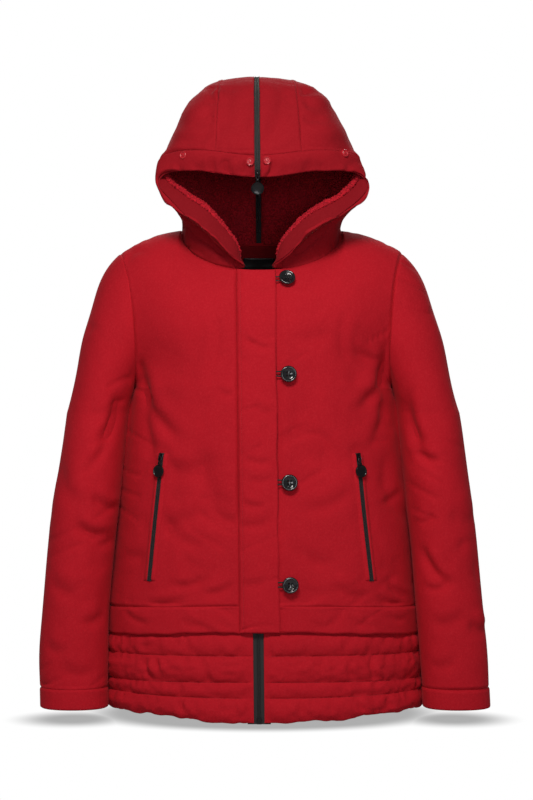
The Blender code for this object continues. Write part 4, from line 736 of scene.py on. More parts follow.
BOTH, TOP_ALLOWANCE = 0, 11
quilt_heights = [QUILT_TOP, QUILT_TOP - TOP_ALLOWANCE]
for quilt_row in QUILT_ROWS:
    tall = quilt_row[0] - quilt_row[1]
    shares = 0.5 - 0.5 * np.cos(math.pi * np.linspace(0, 1, 10 if tall < 24 else 14 if tall < 30 else 17))
    quilt_heights += [quilt_row[0] - tall * share
        for share in shares[(0 if quilt_row is QUILT_ROWS[0] else 1) :]]
quilt_heights = np.array(quilt_heights[::-1])
quilt_v = height_to_v(quilt_heights)


def quilt_piece(name, points, out, position, seed, side, wall, calm, edges):
    """A quilt piece from the jacket's surface, `calm` where the zip holds it flat."""
    height = np.broadcast_to(quilt_heights[:, None], position.shape)
    lift = quilt_lift(height, position, seed) * calm - QUILT_INSET + 4.0 * smoothstep(185, 225,
        np.abs(points[..., 0]))
    if side != BOTH:
        lift += creased(side * points[..., 0], points[..., 2], QUILT_CREASES) * calm
    ripple = (2.0 * noise(position / 19, 0.0 * position, seed + 5)
        + 1.0 * noise(position / 8, 0.0 * position, seed + 6))
    ripple = ripple + 2.6 * smoothstep(60, 150, np.abs(points[..., 0])) * (points[..., 1] < 0)
    points = points + np.array([0.0, 0.0, 1.0]) * (ripple * calm * smoothstep(-668, -682, height))[..., None]
    points = points + out * lift[..., None]
    grid_side = RIGHT if side == RIGHT else LEFT
    return cloth(name, points, out, 0.0 * position, wall, red_microfibre, grid_side, edges)


for side, word in ((RIGHT, "right"), (LEFT, "left")):
    edge = front_share_at_x(HEM_ZIP_HALF + side * HEM_ZIP_X, quilt_v)[:, None]
    u = edge + (1 - edge) * spaced(285.0, 2.9)
    v = np.broadcast_to(quilt_v[:, None], u.shape)
    points, out = body_point(FRONT, u, v), body_out(FRONT, u, v)
    from_zip = points[..., 0] - points[:, :1, 0]
    calm = 0.25 + 0.75 * smoothstep(0.0, 18.0, from_zip)
    wall = QUILT_WALL - (QUILT_WALL - ZIP_EDGE_WALL) * (1 - smoothstep(11.0, 26.0, from_zip))
    quilt = quilt_piece(f"quilted_hem_{word}", points, out, runs(points, 1), 91 + side, side, wall, calm,
        ("fold", "seam", "fold", "none"))
    dressed(quilt, "quilt_" + word)
    cut(310, 165, min(310 * 165, 1.15 * flat_area(points)))
u, v = np.meshgrid(spaced(285.0, 2.9, False, True), quilt_v)
points, out = both_halves(body_point(BACK, u, v)), both_halves(body_out(BACK, u, v))
quilt = quilt_piece("quilted_hem_back", points, out, runs(points, 1), 101, BOTH, QUILT_WALL, 1.0,
    ("seam", "seam", "fold", "none"))
dressed(quilt, "quilt_back")
cut(640, 165, min(640 * 165, 1.15 * flat_area(points)))

# ---------------------------------------------------------------------------------------------
# Sleeves and cuff bands: one tube each, set into the armhole, in the outer cloth over wadding. The
# arm hangs, so the cloth breaks into soft creases at the elbow and drags from the underarm.
# ---------------------------------------------------------------------------------------------

SLEEVE_WALL, CUFF_WALL, CUFF_STEP = 6.0, 5.0, 0.3
ARM_TOP, ARM_END, CUFF_SEAM = -262.0, -679.0, -650.0
SLEEVE_POWER = 2.15
SLEEVE_COLUMNS = ("height", "outer", "inner", "middle_y", "half_depth")
SLEEVE = (
    (-684, 319.8, 223.1, -60, 43.5), (-650, 319.2, 222.8, -59, 44.5), (-605, 318.5, 221.3, -57, 47),
    (-545, 314.3, 218.4, -53, 50), (-480, 308.5, 213.2, -48, 54), (-400, 301.0, 205.6, -40, 59),
    (-330, 291.5, 199.2, -29, 64.5), (-290, 286.5, 195.6, -21, 67), (-262, 283.0, 192.7, -14, 68),
)


def sleeve_ring(angle, height):
    outer, inner, middle_y, half_depth = (lookup(SLEEVE_COLUMNS, SLEEVE, "height", c, height)
        for c in SLEEVE_COLUMNS[1:])
    cos, sin = np.cos(angle), np.sin(angle)
    round_x = np.sign(cos) * np.abs(cos) ** (2 / SLEEVE_POWER)
    round_y = np.sign(sin) * np.abs(sin) ** (2 / SLEEVE_POWER)
    return stack((outer + inner) / 2 - (outer - inner) / 2 * round_x, middle_y - half_depth * round_y, height)


def sleeve_point(angle, w):
    """The sleeve's surface: angle from the underarm, w from the armhole (0) past the arm's top (1) to 2."""
    angle, w = np.broadcast_arrays(np.asarray(angle, float), np.asarray(w, float))
    turned = np.mod(angle, 2 * math.pi)
    seam_angle = np.where(turned <= math.pi, turned, 2 * math.pi - turned)
    seam = np.where((turned <= math.pi)[..., None], armhole(FRONT, seam_angle), armhole(BACK, seam_angle))
    ring_top = sleeve_ring(angle, np.full_like(angle, ARM_TOP))
    raised = (1 - np.cos(seam_angle)) / 2
    leave = unit(stack(0.15 + 0.70 * raised**0.8, -0.12 * np.sin(turned), -0.95 + 0.25 * raised**3))
    arrive = unit(stack(0.12 + 0.2 * raised, 0.0 * raised, -np.ones_like(raised)))
    chord = np.linalg.norm(ring_top - seam, axis=-1, keepdims=True)
    head = hermite(seam, ring_top, leave * chord, arrive * chord, np.clip(w, 0, 1))
    arm = sleeve_ring(angle, ARM_TOP + (ARM_END - ARM_TOP) * np.clip(w - 1, 0, 1))
    return np.where((w < 1)[..., None], head, arm)


def sleeve_out(angle, w):
    points = sleeve_point(angle, w)
    around = sleeve_point(angle + 0.01, w) - sleeve_point(angle - 0.01, w)
    down = sleeve_point(angle, np.clip(w + 0.01, 0, 2)) - sleeve_point(angle, np.clip(w - 0.01, 0, 2))
    out = unit(np.cross(around, down))
    out *= np.sign((out * (points - points.mean(axis=1, keepdims=True))).sum(axis=-1, keepdims=True))
    turned = np.mod(angle, 2 * math.pi)
    seam_angle = np.where(turned <= math.pi, turned, 2 * math.pi - turned)
    at_seam = (1 - smoothstep(0.0, 0.03, w))[..., None]
    return unit(out * (1 - at_seam) + away_from_armhole(points, seam_angle) * at_seam)


def arm_w(height):
    return 1 + (height - ARM_TOP) / (ARM_END - ARM_TOP)


ARM_CREASES = (
    (-262, -422, -214, -438, 8, 3.4), (-240, -380, -208, -400, 7, 2.2), (-232, -450, -206, -440, 6, 1.8),
    (-292, -330, -262, -395, 13, 1.8), (-200, -236, -232, -310, 9, 2.6), (-205, -262, -250, -352, 8, 1.8),
    (-300, -500, -262, -520, 11, 1.5), (-250, -560, -222, -548, 8, 1.6), (-306, -590, -276, -600, 9, 1.2),
    (200, -236, 230, -318, 9, 2.8), (203, -268, 246, -350, 8, 1.9), (212, -318, 250, -330, 7, 1.8),
    (220, -452, 262, -506, 7, 2.8), (232, -512, 264, -500, 6, 1.8), (222, -420, 240, -404, 6, 1.6),
    (288, -558, 318, -572, 8, 2.2), (240, -560, 282, -548, 10, 1.4), (262, -400, 300, -420, 12, 1.2),
    (236, -620, 270, -612, 8, 1.2), (-240, -630, -288, -622, 9, 1.1),
)
BACK_ARM_CREASES = (
    (300, -410, 225, -440, 11, 2.2), (290, -450, 220, -425, 10, 1.8), (280, -300, 215, -350, 12, 1.8),
)
angles = np.linspace(0, 2 * math.pi, 117)[:-1]
w_rows = even_rows(lambda w: sleeve_point(np.full_like(w, 2.4), w), 0.0, arm_w(CUFF_SEAM), 3.9)
cuff_rows = arm_w(CUFF_SEAM) + (2 - arm_w(CUFF_SEAM)) * spaced(29.0, 2.6)
for side, word in ((RIGHT, "right"), (LEFT, "left")):
    for rows, cuff in ((w_rows, False), (cuff_rows, True)):
        angle, w = np.meshgrid(angles, rows)
        points, out = sleeve_point(angle, w), sleeve_out(angle, w)
        x, z = side * points[..., 0], points[..., 2]
        along = runs(points, 0)
        front_share = smoothstep(0.1, -0.5, out[..., 1])
        girth = (noise(points[..., 0] / 44, z / 80, 111 + side)
            + noise(points[..., 1] / 44, z / 80, 113 + side)) * 0.8
        at_rim = smoothstep(0.15, 0.5, np.abs(out[..., 1]))  # calmer where the outline is
        lift = girth + slack(x, z, 117 + side, -0.45 * side) * front_share * at_rim + slack(-x, z,
            121 + side, 0.3) * (1 - front_share) * at_rim
        lift += creased(x, z, ARM_CREASES) * front_share
        lift += creased(points[..., 0], z, BACK_ARM_CREASES) * (1 - front_share)
        round_armhole = 55 * np.abs(np.sin(angle)) + 20 * (angle > math.pi)
        lift += puckers(along, round_armhole, 125 + side)
        lift += puckers(along[-1:] - along, x + 0.7 * points[..., 1], 129)
        lift -= 5.0 * np.exp(-(((z + 112) / 42) ** 2)) * np.exp(-(((angle - math.pi) / 0.9) ** 2))
        if cuff:
            points = points + out * (CUFF_STEP * smoothstep(0.0, 4.0, along))[..., None]
            piece = cloth("cuff_band_" + word, points, out, 0.45 * lift, CUFF_WALL, red_microfibre, side,
                ("none", "none", "seam", "fold"), True)
            dressed(piece, "cuff_" + word)
            cut(330, 32, flat_area(points))
        else:
            piece = cloth("sleeve_tube_" + word, points, out, lift, SLEEVE_WALL, red_microfibre, side,
                ("none", "none", "seam", "seam"), True)
            dressed(piece, "sleeve_" + word)
            cut(440, 640, flat_area(points))

# ---------------------------------------------------------------------------------------------
# Hood shell: a band round the face, side panels and the two halves of the crown's strip, in the
# outer cloth over thin wadding; inside the rim a smooth facing of the same cloth, rolled out at
# the cheeks.
# ---------------------------------------------------------------------------------------------

HOOD_WALL, FACING_WALL, LINING_WALL = 4.0, 2.0, 5.0
HOOD_RIBS = (  # neck share, then collar, lapel, jaw, cheek, temple, brow and crown
    (0.109, (42, -114, -44), (74, -118, -14), (115, -106, 16), (150, -82, 55), (138, -90, 76),
    (84, -120, 74), (0, -136, 64)),
    (0.188, (40, -98, -22), (76, -94, 18), (116, -82, 43), (143, -64, 74), (137, -74, 102), (85, -123, 104),
    (0, -141, 94)),
    (0.343, (72, -86, -22), (94, -78, 14), (132, -64, 40), (143, -44, 74), (131, -46, 116), (88, -94, 158),
    (0, -124, 146)),
    (0.526, (97, -64, -10), (116, -54, 20), (138, -36, 46), (143, -14, 82), (129, -12, 130), (85, -38, 198),
    (0, -70, 208)),
    (0.674, (111, -40, 4), (120, -20, 28), (136, 4, 56), (141, 24, 98), (121, 28, 148), (77, 24, 208),
    (0, 14, 226)),
    (0.795, (114, -14, 12), (115, 14, 34), (118, 44, 68), (118, 66, 102), (98, 80, 142), (56, 92, 178),
    (0, 98, 198)),
    (0.897, (115, 4, 12), (108, 36, 26), (101, 68, 46), (88, 98, 66), (66, 120, 84), (36, 134, 94),
    (0, 140, 98)),
)
NECK_LIFT, HOOD_LAST, CENTRE_PANEL_X = 1.1, 7, (63.0, 44.0)
HOOD_ZIP_HALF, LINING_ZIP_HALF, BAND_V, FACING_V = 3.8, 6.0, 1.0, 0.78


def spline_weights(at, count):
    at = np.clip(at, 0.0, count - 1.0)
    first = np.clip(np.floor(at).astype(int), 0, count - 2)
    f = at - first
    outer = (-0.5 * f + f**2 - 0.5 * f**3, -0.5 * f**2 + 0.5 * f**3)
    middle = (1 - 2.5 * f**2 + 1.5 * f**3, 0.5 * f + 2 * f**2 - 1.5 * f**3)
    return first, (outer[0], *middle, outer[1])


ribs = [[neckline(FRONT, rib[0])] + [np.array(point, float) for point in rib[1:]] for rib in HOOD_RIBS]
back_seam = [neckline(BACK, 1 - column / HOOD_LAST) for column in range(HOOD_LAST + 1)]
net = np.array(ribs + [back_seam])
net[..., 2] += NECK_LIFT
net = np.concatenate([2 * net[:1] - net[1:2], net, 2 * net[-1:] - net[-2:-1]])
net = np.concatenate([2 * net[:, :1] - net[:, 1:2], net, mirrored(net[:, -2:-1], RIGHT)], axis=1)


def hood_point(u, v):
    """The hood's surface: u from the neck's seam (0) to the crown (7), v from the rim (0) to the nape (7)."""
    u, v = np.broadcast_arrays(np.asarray(u, float), np.asarray(v, float))
    row, row_weights = spline_weights(v, net.shape[0] - 2)
    column, column_weights = spline_weights(u, net.shape[1] - 2)
    point = np.zeros(row.shape + (3,))
    for i, row_weight in enumerate(row_weights):
        for j, column_weight in enumerate(column_weights):
            point += (row_weight * column_weight)[..., None] * net[row + i, column + j]
    return point


def hood_out(u, v):
    out = -normals_of(hood_point, u, v, (0, HOOD_LAST), (0, HOOD_LAST))
    off_axis = unit(hood_point(u, v) * np.array([1.0, 1.0, 0.0]))
    near_neck = 1 - smoothstep(0.0, 0.12, np.minimum(u, HOOD_LAST - v)) if np.ndim(u) else 0.0
    return unit(out + (off_axis - out) * (near_neck * smoothstep(BAND_V, 2.2, v))[..., None])


def hood_share_at_x(x, v):
    return share_at_x(hood_point, x, v, 5.0, HOOD_LAST)


def panel_seam(rows):
    front, behind = CENTRE_PANEL_X
    shares = np.linspace(5.0, HOOD_LAST, 121)
    xs = hood_point(shares[None, :], rows[:, None])[..., 0]
    wanted = front + (behind - front) * rows / HOOD_LAST
    return np.array([np.interp(-x, -row, shares) for x, row in zip(wanted, xs)])


def hood_grid(rows, start, end, length, step, first=True, last=True):
    """u and v from the columns start to end of each row."""
    u = start[:, None] + (end - start)[:, None] * spaced(length, step, first, last)
    return u, np.broadcast_to(rows[:, None], u.shape)


def hood_rows(low, high, step=3.4):
    return even_rows(lambda v: hood_point(np.full_like(v, 5.4), v), low, high, step)


HOOD_CREASES = (
    (-112, 34, -84, -22, 7, 4.6), (-98, 18, -64, -34, 6, 4.4), (-84, 2, -50, -40, 5, 3.4),
    (-128, 30, -112, -2, 6, 2.6),
    (-70, -16, -46, -44, 4, 3.0), (112, 34, 76, -18, 7, 3.6), (94, 16, 58, -30, 6, 3.6),
    (78, -8, 48, -40, 5, 3.0),
    (126, 30, 112, 0, 6, 2.2), (-128, 84, -66, 76, 8, 2.4), (-62, 96, -120, 92, 9, 2.0),
    (70, 100, 134, 110, 10, 2.8),
    (64, 120, 128, 122, 9, 2.2), (60, 150, 94, 154, 7, 2.4), (-62, 160, -98, 138, 10, 2.4),
    (-70, 204, -58, 168, 7, 2.2),
    (44, 208, 14, 104, 13, 2.2), (-42, 206, -28, 128, 13, 1.8), (62, 176, 98, 164, 8, 2.0),
    (-64, 128, -118, 116, 8, 1.6),
    (60, 196, 84, 190, 6, 1.6), (-16, 196, -24, 110, 9, 1.2),
)
RIM_CREASES = (
    (-71, 66, -67, 94, 3.0, 2.3), (-60, 66, -58, 92, 2.6, 1.6), (-52, 66, -50, 92, 2.8, 2.0),
    (-40, 66, -43, 88, 3, 1.4),
    (-118, 70, -112, 84, 3.5, 1.1), (62, 70, 66, 92, 3, 1.4), (118, 70, 122, 88, 3.5, 1.1),
    (-92, 66, -88, 86, 3.5, 1.2),
    (14, 64, 22, 90, 3, 1.8), (36, 66, 33, 88, 3, 1.2), (90, 68, 86, 88, 3.5, 0.9),
    (-24, 66, -20, 88, 3, 1.3),
)
band_v, facing_v = hood_rows(0.0, BAND_V, 2.4), hood_rows(0.0, FACING_V, 2.6)
panel_v = hood_rows(BAND_V, HOOD_LAST)
# The hood and its facings are a shade darker than the body: painted shade in darker copies of the same cloth,
# the hood's for its tilt up and away from the light, the facing's for the shade under the rim and inside the
# neck.
painted_shade_hood_cloth = microfibre("red_microfibre_hood_painted_shade", "#a11521", "#91111c", "#af262e")
painted_shade_facing_cloth = microfibre("red_microfibre_facing_painted_shade", "#8a121c", "#7d0f18", "#972028")
for side, word in ((RIGHT, "right"), (LEFT, "left")):
    zip_edge = hood_share_at_x(HOOD_ZIP_HALF, band_v)
    u, v = hood_grid(band_v, 0.0 * zip_edge, zip_edge, 275.0, 2.9)
    points, out = hood_point(u, v), hood_out(u, v)
    x, z = side * points[..., 0], points[..., 2]
    along, across = runs(points, 0), runs(points, 1)
    lift = 0.9 * slack(x, z, 131 + side, 0.3) + creased(x, z, RIM_CREASES) + creased(x, z,
        HOOD_CREASES[:9]) + puckers(along[-1:] - along, x, 133, 1.5, 6.0, 10.0)
    lift += puckers(along, x, 135, 1.3, 7.0, 8.0)
    points = points + np.array([0.0, 0.0, 1.0]) * (1.1 * noise(x / 16, 0.0 * x, 137)
        * smoothstep(14, 0, along) * smoothstep(4.2, 5.0, u))[..., None]
    points[..., 0] += 6.5 * np.exp(-(((z - 34) / 14) ** 2)) * smoothstep(85, 115, points[..., 0])
    piece = cloth(f"hood_face_band_{word}", points, out, lift, HOOD_WALL, painted_shade_hood_cloth, side,
        ("seam", "fold", "fold", "seam"))
    dressed(piece, "hood_band_" + word)
    cut(320, 60, flat_area(points))

    zip_edge = hood_share_at_x(LINING_ZIP_HALF, facing_v)
    u, v = hood_grid(facing_v, 0.0 * zip_edge, zip_edge, 275.0, 3.6)
    points, out = hood_point(u, v), hood_out(u, v)
    x, z = side * points[..., 0], points[..., 2]
    points = points - out * (HOOD_WALL + 0.3)
    lift = 0.25 * slack(x, z, 141 + side, -0.6)
    piece = cloth(f"hood_rim_facing_{word}", points, out, 0.0 * lift, FACING_WALL + 0.6 * lift,
        painted_shade_facing_cloth, side, ("none", "none", "fold", "none"))
    dressed(piece, "hood_facing_" + word)
    cut(320, 70, flat_area(points))

    seam, zip_edge = panel_seam(panel_v), hood_share_at_x(HOOD_ZIP_HALF, panel_v)
    for name, node, start, end, length in (
        ("hood_side_panel_", "hood_side_", 0.0 * seam, seam, 240.0),
        ("hood_crown_strip_", "hood_centre_", seam, zip_edge, 58.0),
    ):
        u, v = hood_grid(panel_v, start, end, length, 3.4)
        points, out = hood_point(u, v), hood_out(u, v)
        x, z = side * points[..., 0], points[..., 2]
        along, across = runs(points, 0), runs(points, 1)
        in_front = smoothstep(0.25, -0.2, out[..., 1])
        lift = 0.8 * slack(x, z, 145 + side, 0.3 * side) + 0.5 * slack(points[..., 1], z, 147 + side,
            0.2) + creased(x, z, HOOD_CREASES) * in_front
        lift += puckers(along, x, 149, 1.6, 7.0, 12.0) + puckers(across[:, -1:] - across,
            points[..., 1] + z, 151, 1.6, 8.0, 11.0)
        lift += puckers(across, points[..., 1] + points[..., 2], 153, 1.6, 8.0, 14.0)
        lift -= 2.4 * smoothstep(185, 215, z)
        points[..., 2] -= 1.6 * (1 - smoothstep(0.0, 0.1, u)) + 3.0 * smoothstep(6.88, 7.0, v)
        points[..., 0] += 4.0 * np.exp(-(((z - 30) / 14) ** 2)) * smoothstep(85, 115, points[..., 0])
        edges = ("seam", "seam", "seam", "seam") if start is not seam else ("seam", "fold", "seam", "seam")
        piece = cloth(name + word, points, out, lift, HOOD_WALL, painted_shade_hood_cloth, side, edges)
        dressed(piece, node + word)
        if start is seam:
            cut(75, 400, flat_area(points))
        else:
            cut(330, 360, flat_area(points))

# ---------------------------------------------------------------------------------------------
# Hood lining: pile knit cut in sides and a centre strip, two halves each. Its tufts are short
# curled fibres, here one small lump for every three or four.
# ---------------------------------------------------------------------------------------------


def grouped_nodes(name):
    """An empty Geometry Nodes tree with a mesh in and a mesh out."""
    tree = bpy.data.node_groups.new(name, "GeometryNodeTree")
    tree.interface.new_socket("Geometry", in_out="INPUT", socket_type="NodeSocketGeometry")
    tree.interface.new_socket("Geometry", in_out="OUTPUT", socket_type="NodeSocketGeometry")
    return tree


def repeated(name, seed_mesh, tree, material, **inputs):
    """Runs a tree over a mesh and keeps what it makes as a plain mesh."""
    source = bpy.data.objects.new(name + "_source", seed_mesh)
    bpy.context.scene.collection.objects.link(source)
    modifier = source.modifiers.new("repeat", "NODES")
    modifier.node_group = tree
    for item in tree.interface.items_tree:
        if item.item_type == "SOCKET" and item.in_out == "INPUT" and item.name in inputs:
            modifier[item.identifier] = inputs[item.name]
    bpy.context.view_layer.update()
    evaluated = source.evaluated_get(bpy.context.evaluated_depsgraph_get())
    mesh = bpy.data.meshes.new_from_object(evaluated)
    mesh.name = name
    made = bpy.data.objects.new(name, mesh)
    bpy.data.objects.remove(source)
    bpy.data.meshes.remove(seed_mesh)
    mesh.materials.clear()
    mesh.materials.append(material)
    bpy.context.scene.collection.objects.link(made)
    return made


tuft_tree = grouped_nodes("curled_tufts")
tuft_tree.interface.new_socket("Spacing", in_out="INPUT", socket_type="NodeSocketFloat")
tuft_tree.interface.new_socket("Tuft", in_out="INPUT", socket_type="NodeSocketMaterial")
ins = add_node(tuft_tree, "NodeGroupInput")
spots = add_node(
    tuft_tree, "GeometryNodeDistributePointsOnFaces",
    [("Mesh", ins, "Geometry"), ("Distance Min", ins, "Spacing")],
    distribute_method="POISSON", inputs={"Density Max": 160000.0, "Seed": 7},
)
lump = add_node(tuft_tree, "GeometryNodeMeshIcoSphere", inputs={"Radius": 0.0021, "Subdivisions": 1})
size = add_node(tuft_tree, "FunctionNodeRandomValue", data_type="FLOAT_VECTOR",
    inputs={0: (0.7, 0.7, 0.5), 1: (1.5, 1.1, 0.95), "Seed": 3})
spin = add_node(tuft_tree, "FunctionNodeRandomValue", data_type="FLOAT_VECTOR",
    inputs={0: (-0.5, -0.5, 0.0), 1: (0.5, 0.5, 6.283), "Seed": 5})
turn = add_node(tuft_tree, "FunctionNodeRotateRotation", [("Rotation", spots, "Rotation")],
    rotation_space="LOCAL")
tuft_tree.links.new(spin.outputs[0], turn.inputs["Rotate By"])
many = add_node(
    tuft_tree, "GeometryNodeInstanceOnPoints",
    [("Points", spots, "Points"), ("Instance", lump, "Mesh"), ("Rotation", turn, "Rotation"),
    ("Scale", size, 0)],
)
real = add_node(tuft_tree, "GeometryNodeRealizeInstances", [("Geometry", many, "Instances")])
painted = add_node(tuft_tree, "GeometryNodeSetMaterial",
    [("Geometry", real, "Geometry"), ("Material", ins, "Tuft")])
add_node(tuft_tree, "NodeGroupOutput", [("Geometry", painted, "Geometry")])

pile, tree = empty_material("red_pile_knit")  # sherpa: matt curled polyester; its fine mottle is partly random tone and partly painted shade between the tufts and painted highlight on them
place = add_node(tree, "ShaderNodeTexCoord")
tuft_tone_and_painted_light = add_node(tree, "ShaderNodeTexNoise", [("Vector", place, "Object")],
    inputs={"Scale": 330.0, "Detail": 3.0, "Roughness": 0.6})
patch = add_node(tree, "ShaderNodeTexNoise", [("Vector", place, "Object")],
    inputs={"Scale": 28.0, "Detail": 2.0})
# the dark specks are painted shade and the bright ones painted highlight, over a random tone
contrast = add_node(tree, "ShaderNodeMapRange", [("Value", tuft_tone_and_painted_light, "Fac")],
    inputs={"From Min": 0.38, "From Max": 0.62})
tone = add_node(tree, "ShaderNodeMix", [("Factor", contrast, "Result")], data_type="RGBA",
    inputs={6: colour("#6e0a15"), 7: colour("#dc2231")})
tone = add_node(tree, "ShaderNodeMix", [("Factor", patch, "Fac"), (6, tone, 2)], data_type="RGBA",
    inputs={7: colour("#a81c2a")})
curls = add_node(tree, "ShaderNodeTexVoronoi", [("Vector", place, "Object")], inputs={"Scale": 560.0})
rough = add_node(tree, "ShaderNodeBump", [("Height", curls, "Distance")], invert=True,
    inputs={"Strength": 0.7, "Distance": 0.0012})
skin = add_node(
    tree, "ShaderNodeBsdfPrincipled", [("Base Color", tone, 2), ("Normal", rough, 0)],
    inputs={"Roughness": 0.95, "Sheen Weight": 0.35, "Sheen Roughness": 0.5,
    "Sheen Tint": colour("#e8404c"), "Specular IOR Level": 0.1},
)
add_node(tree, "ShaderNodeOutputMaterial", [("Surface", skin, 0)])

lining_v = hood_rows(FACING_V, HOOD_LAST, 4.5)
for side, word in ((RIGHT, "right"), (LEFT, "left")):
    seam, zip_edge = panel_seam(lining_v), hood_share_at_x(LINING_ZIP_HALF, lining_v)
    for name, node, start, end, length in (
        ("pile_side_", "hood_lining_side_", 0.0 * seam, seam, 240.0),
        ("pile_centre_", "hood_lining_centre_", seam, zip_edge, 58.0),
    ):
        u, v = hood_grid(lining_v, start, end, length, 4.5)
        points, out = hood_point(u, v), hood_out(u, v)
        across, along = runs(points, 1), runs(points, 0)
        points[..., 2] -= 3.5 * smoothstep(6.85, 7.0, v)
        deep = points - out * (HOOD_WALL + 0.3)
        full = 1.3 * noise(points[..., 1] / 19, points[..., 2] / 19, 161) + 1.0 * noise(points[..., 0] / 8,
            points[..., 2] / 8 + points[..., 1] / 8, 163)
        seam_in = 3.4 * np.exp(-across / 3.5) + 3.4 * np.exp(-(across[:, -1:] - across)
            / 3.5) if start is seam else 3.4 * np.exp(-(across[:, -1:] - across) / 3.5)
        wall = np.maximum(LINING_WALL + full - seam_in, 1.0)
        piece = cloth(name + word, deep, out, 0.0 * wall, wall, pile, side, ("none",) * 4)
        dressed(piece, node + word)
        cut(330 if start is not seam else 75, 400, flat_area(points))
        inner = leant(mirrored(deep - out * (wall - 0.4)[..., None], side)) / 1000
        index = np.arange(inner[..., 0].size).reshape(inner.shape[:2])
        quads = np.stack([index[:-1, :-1], index[1:, :-1], index[1:, 1:], index[:-1, 1:]],
            axis=-1).reshape(-1, 4)
        quads = quads if side == LEFT else quads[:, ::-1]
        bed = bpy.data.meshes.new("tuft_bed")
        bed.from_pydata(inner.reshape(-1, 3).tolist(), [], quads.tolist())
        tufts = repeated(f"pile_tufts_{node[12:]}{word}", bed, tuft_tree, pile, Spacing=0.0038, Tuft=pile)
        dressed(tufts, node + word)

# ---------------------------------------------------------------------------------------------
# Stitching: red polyester thread, about eight stitches to 25 mm. One tree lays beads along lines,
# and serves the stitches here and the zips' coils below.
# ---------------------------------------------------------------------------------------------

bead_tree = grouped_nodes("beads_along_lines")
bead_tree.interface.new_socket("Pitch", in_out="INPUT", socket_type="NodeSocketFloat")
bead_tree.interface.new_socket("Bead", in_out="INPUT", socket_type="NodeSocketVector")
bead_tree.interface.new_socket("Made of", in_out="INPUT", socket_type="NodeSocketMaterial")
ins = add_node(bead_tree, "NodeGroupInput")
line = add_node(bead_tree, "GeometryNodeMeshToCurve", [("Mesh", ins, "Geometry")])
even = add_node(bead_tree, "GeometryNodeResampleCurve",
    [("Curve", line, "Curve"), ("Length", ins, "Pitch")], mode="LENGTH")
way = add_node(bead_tree, "GeometryNodeInputTangent")
aim = add_node(bead_tree, "FunctionNodeAlignRotationToVector", [("Vector", way, "Tangent")], axis="X")
bead = add_node(bead_tree, "GeometryNodeMeshIcoSphere", inputs={"Radius": 1.0, "Subdivisions": 1})
many = add_node(
    bead_tree, "GeometryNodeInstanceOnPoints",
    [("Points", even, "Curve"), ("Instance", bead, "Mesh"), ("Rotation", aim, "Rotation"),
    ("Scale", ins, "Bead")],
)
real = add_node(bead_tree, "GeometryNodeRealizeInstances", [("Geometry", many, "Instances")])
painted = add_node(bead_tree, "GeometryNodeSetMaterial",
    [("Geometry", real, "Geometry"), ("Material", ins, "Made of")])
add_node(bead_tree, "NodeGroupOutput", [("Geometry", painted, "Geometry")])


def beaded(name, lines, pitch, bead_size, material):
    """Beads every `pitch` mm along lines of points that are already in metres."""
    verts = np.concatenate(lines)
    edges, first = [], 0
    for points in lines:
        edges += [(first + k, first + k + 1) for k in range(len(points) - 1)]
        first += len(points)
    mesh = bpy.data.meshes.new(name + "_lines")
    mesh.from_pydata(verts.tolist(), edges, [])
    made = repeated(name, mesh, bead_tree, material, Pitch=pitch / 1000,
        Bead=tuple(k / 1000 for k in bead_size), **{"Made of": material})
    made.data.shade_smooth()
    return made


# spun polyester, a shade lighter than the cloth, with a soft gleam
thread, tree = empty_material("red_thread")
place = add_node(tree, "ShaderNodeTexCoord")
ply = add_node(tree, "ShaderNodeTexNoise", [("Vector", place, "Object")],
    inputs={"Scale": 1500.0, "Detail": 2.0})
tone = add_node(tree, "ShaderNodeMix", [("Factor", ply, "Fac")], data_type="RGBA",
    inputs={6: colour("#8e101c"), 7: colour("#bd2330")})
skin = add_node(tree, "ShaderNodeBsdfPrincipled", [("Base Color", tone, 2)],
    inputs={"Roughness": 0.55, "Specular IOR Level": 0.35})
add_node(tree, "ShaderNodeOutputMaterial", [("Surface", skin, 0)])


def on_body(face, side, x_or_u, height, out, by_x=True):
    """Points in metres on the jacket's surface, moved out by `out` mm."""
    v = height_to_v(height)
    u = np.array([share_at_x(lambda a, b: body_point(face, a, b), x, [k], 0.0, 0.95)[0] for x,
        k in zip(x_or_u, v)]) if by_x else x_or_u
    return leant(mirrored(body_point(face, u, v) + body_out(face, u, v) * np.asarray(out)[..., None],
        side)) / 1000


lines = []
for face, side in ((FRONT, RIGHT), (FRONT, LEFT), (BACK, RIGHT), (BACK, LEFT)):
    for height in (-602.0, -639.0, -655.0):
        start = (HEM_ZIP_HALF + side * HEM_ZIP_X + 7) / 232 / 1.15 if face == FRONT else 0.0
        shares = np.linspace(start, 1.0, 110)
        heights = np.full(110, height)
        lines.append(on_body(face, side, shares, heights, np.full(110, 0.35 - QUILT_INSET), by_x=False))
fly_grid = np.array([vertex.co for vertex in fly.data.vertices])[: len(fly.data.vertices) // 2]
fly_grid = fly_grid.reshape(-1, len(xs), 3)
lines.append(fly_grid[4:-4, int(np.argmin(np.abs(xs - FLY_SEAM_X - 6.5)))] + np.array([0.0, -0.0002, 0.0]))
stitches = beaded("topstitching", lines, 3.2, (1.35, 0.32, 0.32), thread)
dressed(stitches, ["quilt_right", "quilt_left", "quilt_back", "placket"])

# ---------------------------------------------------------------------------------------------
# Zips: woven polyester tape with a nylon coil sewn on. At the centre front of the quilted layer,
# in the two pockets, and over the hood's crown, where the coil also shows from inside.
# ---------------------------------------------------------------------------------------------

